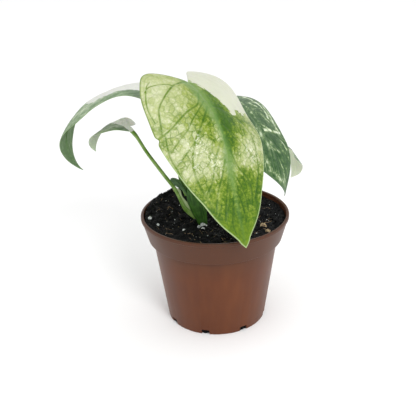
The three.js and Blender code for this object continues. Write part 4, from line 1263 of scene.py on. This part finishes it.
def front_zones(leaf, x, y):
    """How green, cream, speckled and so on the front blade is at the shares x and y."""
    on_left = y < 0
    green = 0.3 + 0.3 * smoothstep(0.5, 0.7, x) + 0.22 * smoothstep(0.7, 0.82, x)
    left_spots = [
        (0.14, (0.15, -0.12), (0.16, 0.16)), (0.22, (0.34, -0.2), (0.07, 0.09)),
        (0.2, (0.28, -0.3), (0.1, 0.15)), (-0.2, (0, -0.78), (0.14, 0.3)),
        (-0.12, (0.4, -0.75), (0.25, 0.25)), (-0.22, (0.4, -0.33), (0.06, 0.12)),
        (-0.24, (0.47, -0.4), (0.09, 0.13)), (-0.18, (0.53, -0.18), (0.05, 0.1)),
        (-0.12, (0.55, -0.62), (0.07, 0.1)), (0.12, (0.7, -0.1), (0.1, 0.1)),
    ]
    right_spots = [
        (0.55, (0.16, 0.14), (0.13, 0.12)), (0.6, (0.3, 0.12), (0.12, 0.16)),
        (0.5, (0.42, 0.04), (0.07, 0.12)), (0.36, (0.28, 0.5), (0.1, 0.3)),
        (0.12, (0.4, 0.3), (0.1, 0.15)), (-0.26, (0.49, 0.5), (0.08, 0.2)),
        (-0.12, (0.56, 0.25), (0.05, 0.16)), (0.35, (0.65, 0.2), (0.08, 0.14)),
        (0.25, (0.66, 0.42), (0.08, 0.14)),
    ]
    for spots, here in ((left_spots, on_left), (right_spots, ~on_left)):
        for amount, middle, reach in spots:
            green += np.where(here, amount * soft_spot(x, y, middle, reach), 0)
    border = np.minimum(0.25, -0.03 + 0.8 * (y - 0.02))
    cream = np.where(on_left, -20, (border - x) * leaf["length"] * 0.7)
    cream = np.where((y > 0) & (x < 0.02), np.maximum(cream, (y - 0.05) * leaf["half_width"]), cream)
    band_x = [-0.1, 0, 0.2, 0.3, 0.42, 0.5, 0.6, 0.7, 0.85, 1]
    band = np.interp(x, band_x, [5, 9, 8.5, 5, 3.4, 5.6, 4.4, 2, 1, 0])
    band = band - 3.5 * smoothstep(0, 0.04, y) * smoothstep(0.45, 0.3, x)
    speckle = np.interp(x, [-0.1, 0.15, 0.35, 0.8, 0.9], [0.45, 0.6, 1, 0.85, 0.3])
    # Where the painted highlights on the raised tissue show.
    painted_glints = soft_spot(x, y, (0.44, -0.38), (0.14, 0.28)) + soft_spot(x, y, (0.5, 0.45), (0.12, 0.25))
    painted_glints += 0.6 * soft_spot(x, y, (0.54, -0.15), (0.06, 0.12)) + 0.25 * smoothstep(0.8, 0.4, x)
    rim = np.where(on_left, smoothstep(0.34, 0.42, x), 1.0)
    return {"green": green, "cream": cream, "band": band, "speckle": speckle, "rim": rim, "painted_glints": painted_glints}


# spot and spots are the colour and strength of the painted highlights.
front_look = {
    "seed": 3.0, "streak_width": 5.5, "streaks": 0.2, "patch_width": 12, "patches": 0.2,
    "tissue": [(0, "#c6c8a7"), (0.2, "#b1b885"), (0.45, "#8e9c41"), (0.7, "#657f12"), (1, "#3c6105")],
    "vein": [(0, "#647c1f"), (0.3, "#527011"), (0.65, "#3a5e08"), (1, "#274d03")],
    "cell": 4.8, "net": 0.95, "halo": 0.2, "laterals": 1.0, "hem": 3.6,
    "spot": "#e4e6cf", "spots": 0.85, "rib": "#5d8040", "band": 0.74, "jag": 4.0,
    "cream": ("#bdc0aa", "#c6c8b5"), "rim": ("#61792c", "#a2b482"), "rim_share": 0.8,
    "under": "#919f73", "under_share": 0.6, "roughness": 0.36,
}
make_blade("front", front_look, front_zones)


def left_zones(leaf, x, y):
    """Left blade: cream on its far half, mottled grey-green on its near half and under its tip."""
    green = 0.62 + 0.18 * np.exp(-((y / 0.12) ** 2)) + 0.2 * smoothstep(0.45, 0.6, x)
    green_lobe = soft_spot(x, y, (-0.02, 0.4), (0.1, 0.4))
    green += 0.5 * green_lobe + 0.25 * soft_spot(x, y, (0.14, 0.95), (0.09, 0.2))
    green -= 0.15 * soft_spot(x, y, (0.4, 0.5), (0.12, 0.3))
    reach_x = [-0.1, 0, 0.12, 0.22, 0.3, 0.36, 0.42, 0.5]
    reach = np.interp(x, reach_x, [0, 0.1, 0.3, 0.5, 0.42, 0.25, -0.1, -1.2])
    cream = (reach - y) * leaf["half_width"] * 0.8
    band = 1.0 - 0.9 * smoothstep(0.1, 0.9, x)
    # Painted highlights show towards the lobes.
    painted_glints = 0.5 * smoothstep(0.5, 0.3, x)
    return {"green": green, "cream": cream, "band": band, "rim": 0.4, "painted_glints": painted_glints}


# spot and spots are the colour and strength of the painted highlights.
left_look = {
    "seed": 11.0, "streak_width": 3.6, "streaks": 1.1, "patch_width": 6, "patches": 0.9,
    "tissue": [(0, "#cfd4be"), (0.35, "#a6b591"), (0.6, "#78916c"), (0.8, "#56793f"), (1, "#3f662a")],
    "vein": [(0, "#a9b58a"), (0.5, "#6f8c55"), (1, "#3f6530")],
    "cell": 3.0, "net": 0.5, "halo": 0.1, "laterals": 0.6, "hem": 2.6,
    "spot": "#cdd5bd", "spots": 0.5, "rib": "#6d8a4e", "band": 0.7, "jag": 5.0,
    "cream": ("#c8cac2", "#d3d4cc"), "rim": ("#5f8046", "#8ea474"), "rim_share": 0.7,
    "under": "#768f6a", "under_share": 0.4, "roughness": 0.42,
}
make_blade("left", left_look, left_zones)


def small_left_zones(leaf, x, y):
    """Small left blade: cream on its lobes, grey-green along the rest."""
    green_lobe = soft_spot(x, y, (0.14, 0.9), (0.14, 0.4))
    green = 0.45 + 0.4 * green_lobe + 0.15 * np.exp(-(((y - 0.1) / 0.25) ** 2))
    reach = np.interp(x, [-0.1, 0, 0.08, 0.15, 0.25, 0.35, 0.45], [1.4, 1.3, 0.7, 0.2, -0.2, -0.5, -1.2])
    band = 1.0 - 0.8 * smoothstep(0.1, 0.9, x)
    cream = (reach - y) * leaf["half_width"] * 0.8
    return {"green": green, "cream": cream, "band": band, "rim": 0.5}


# Its cream and underside are paler than the left blade's: painted light that offsets the shade which the
# left blade above casts on it.
small_left_look = dict(
    left_look, seed=23.0, streak_width=3.5, streaks=0.5, patch_width=7, cell=2.2, hem=1.6, jag=2.0,
    cream=("#e6e9dd", "#f0f1ea"), under="#bdc8b2", under_share=0.8,
)
make_blade("small_left", small_left_look, small_left_zones)


def right_zones(leaf, x, y):
    """Right blade: dark green, marbled with pale streaks that follow its side veins."""
    green = 0.74 - 0.12 * smoothstep(0.35, 0.9, y) * smoothstep(0.7, 0.5, x)
    streaks = [
        (0.6, 1.6, [(0.38, 0.12), (0.42, 0.32), (0.47, 0.52), (0.5, 0.66)]),
        (0.25, 3.4, [(0.34, -0.12), (0.45, -0.12), (0.57, 0.02)]),
        (0.35, 1.4, [(0.57, 0.06), (0.62, 0.2)]),
        (0.4, 2.4, [(0.58, -0.36), (0.69, -0.34), (0.78, -0.24), (0.84, -0.1)]),
        (0.6, 1.4, [(0.05, 0.88), (0.16, 0.8), (0.26, 0.76), (0.34, 0.62)]),
        (0.5, 1.0, [(0.24, 0.9), (0.34, 0.82), (0.42, 0.7), (0.5, 0.66)]),
        (0.4, 1.2, [(0.14, 0.5), (0.2, 0.62)]), (0.35, 1.2, [(0.3, 0.45), (0.36, 0.55)]),
        (0.4, 0.8, [(0.54, 0.5), (0.62, 0.5), (0.7, 0.42)]),
        (0.25, 1.6, [(0.04, 0.3), (0.16, 0.2), (0.3, 0.06)]),
        (0.3, 0.9, [(0.64, 0.05), (0.78, 0.04), (0.9, 0)]),
    ]
    for amount, half_width, places in streaks:
        green -= amount * soft_streak(leaf, x, y, half_width, places)
    green += 0.2 * soft_streak(leaf, x, y, 5, [(0.5, 0.3), (0.62, 0), (0.72, -0.08)])
    band = 1.2 - 1.1 * smoothstep(0.1, 0.9, x)
    # Painted highlights show at half strength all over.
    return {"green": green, "band": band, "rim": 0.3, "speckle": 0.5, "painted_glints": 0.5}


# spot and spots are the colour and strength of the painted highlights.
right_look = {
    "seed": 31.0, "streak_width": 2.4, "streaks": 1.7, "patch_width": 5, "patches": 1.1,
    "tissue": [(0, "#d6ddc8"), (0.2, "#b0c09c"), (0.42, "#6a8152"), (0.62, "#426236"), (1, "#264a20")],
    "vein": [(0, "#93a97c"), (0.5, "#567144"), (1, "#294b25")],
    "cell": 3.0, "net": 0.3, "halo": 0.08, "laterals": 0.4, "hem": 2.4,
    "spot": "#a9ba94", "spots": 0.4, "rib": "#587248", "band": 0.5, "jag": 4.0,
    "cream": ("#c8cac2", "#d3d4cc"), "rim": ("#46683f", "#8ea482"), "rim_share": 0.5,
    "under": "#8da082", "under_share": 0.6, "roughness": 0.4,
}
make_blade("right", right_look, right_zones)


def back_right_zones(leaf, x, y):
    """Back right blade: grey-green, the smaller one on that side. It shows its pale underside."""
    green = 0.5 + 0.4 * smoothstep(0.55, 0.95, np.abs(y))
    return {"green": green, "band": 0.8 - 0.6 * smoothstep(0.1, 0.9, x), "rim": 0.3, "speckle": 0.5}


back_right_look = dict(
    right_look, seed=47.0, streak_width=3.0, streaks=1.0, patch_width=6, cell=2.2, hem=1.6,
    under="#e2e9d2", under_share=0.92,
)
make_blade("back_right", back_right_look, back_right_zones)


# Studio
# A plain white floor, a bright even surround and one large soft light from the upper right.

floor_mesh = bpy.data.meshes.new("studio_floor")
FLOOR_REACH = 6  # metres
floor_corners = [(x * FLOOR_REACH, y * FLOOR_REACH, 0) for x, y in ((-1, -1), (1, -1), (1, 1), (-1, 1))]
floor_mesh.from_pydata(floor_corners, [], [(0, 1, 2, 3)])
floor = bpy.data.objects.new("studio_floor", floor_mesh)
bpy.context.scene.collection.objects.link(floor)
paper, tree, shader = new_material("white_studio_paper")
fill(tree, shader, {"Base Color": linear("#fbfbfb"), "Roughness": 0.9})
floor_mesh.materials.append(paper)

# The surround is a white tent, a little dimmer overhead than at the horizon.
HORIZON_LIGHT = 1.15
OVERHEAD_LIGHT = 0.95
world = bpy.data.worlds.new("white_surround")
world.use_nodes = True
bpy.context.scene.world = world
tree = world.node_tree
direction = add(tree, "SeparateXYZ", inputs={0: add(tree, "TexCoord")}).outputs[2]
brightness = add(tree, "MapRange", inputs={0: direction, 1: 0, 2: 1, 3: HORIZON_LIGHT, 4: OVERHEAD_LIGHT})
fill(tree, tree.nodes["Background"], {"Color": (1, 1, 1, 1), "Strength": brightness})


def soft_light(name, spot, aim, size, watts):
    """A round soft light at a spot, turned to what it aims at. Places and size are in metres."""
    lamp = bpy.data.lights.new(name, "AREA")
    lamp.shape = "DISK"
    lamp.size = size
    lamp.energy = watts
    light = bpy.data.objects.new(name, lamp)
    light.location = spot
    light.rotation_euler = (Vector(spot) - Vector(aim)).to_track_quat("Z", "Y").to_euler()
    bpy.context.scene.collection.objects.link(light)


soft_light("key_light", spot=(0.4, -1.0, 0.9), aim=(0, 0, 0.1), size=0.5, watts=8)

bpy.context.scene.view_settings.view_transform = "Standard"

# The camera stands in front of the pot and looks down on it by 24 degrees.
CAMERA_PLACE = (-5.48, -549.4, 335.62)
CAMERA_DOWN = 23.7
CAMERA_ROLL = -1.36
FOCAL_PIXELS = 741.2
PHOTO_PIXELS = 416
SENSOR = 36
lens = bpy.data.cameras.new("camera")
lens.sensor_width = SENSOR
lens.lens = FOCAL_PIXELS / PHOTO_PIXELS * SENSOR
lens.clip_start = 0.01
camera = bpy.data.objects.new("camera", lens)
camera.matrix_world = (
    Matrix.Translation(Vector(CAMERA_PLACE) * MM)
    @ Matrix.Rotation(math.radians(90 - CAMERA_DOWN), 4, "X")
    @ Matrix.Rotation(math.radians(CAMERA_ROLL), 4, "Z")
)
bpy.context.scene.collection.objects.link(camera)
bpy.context.scene.camera = camera
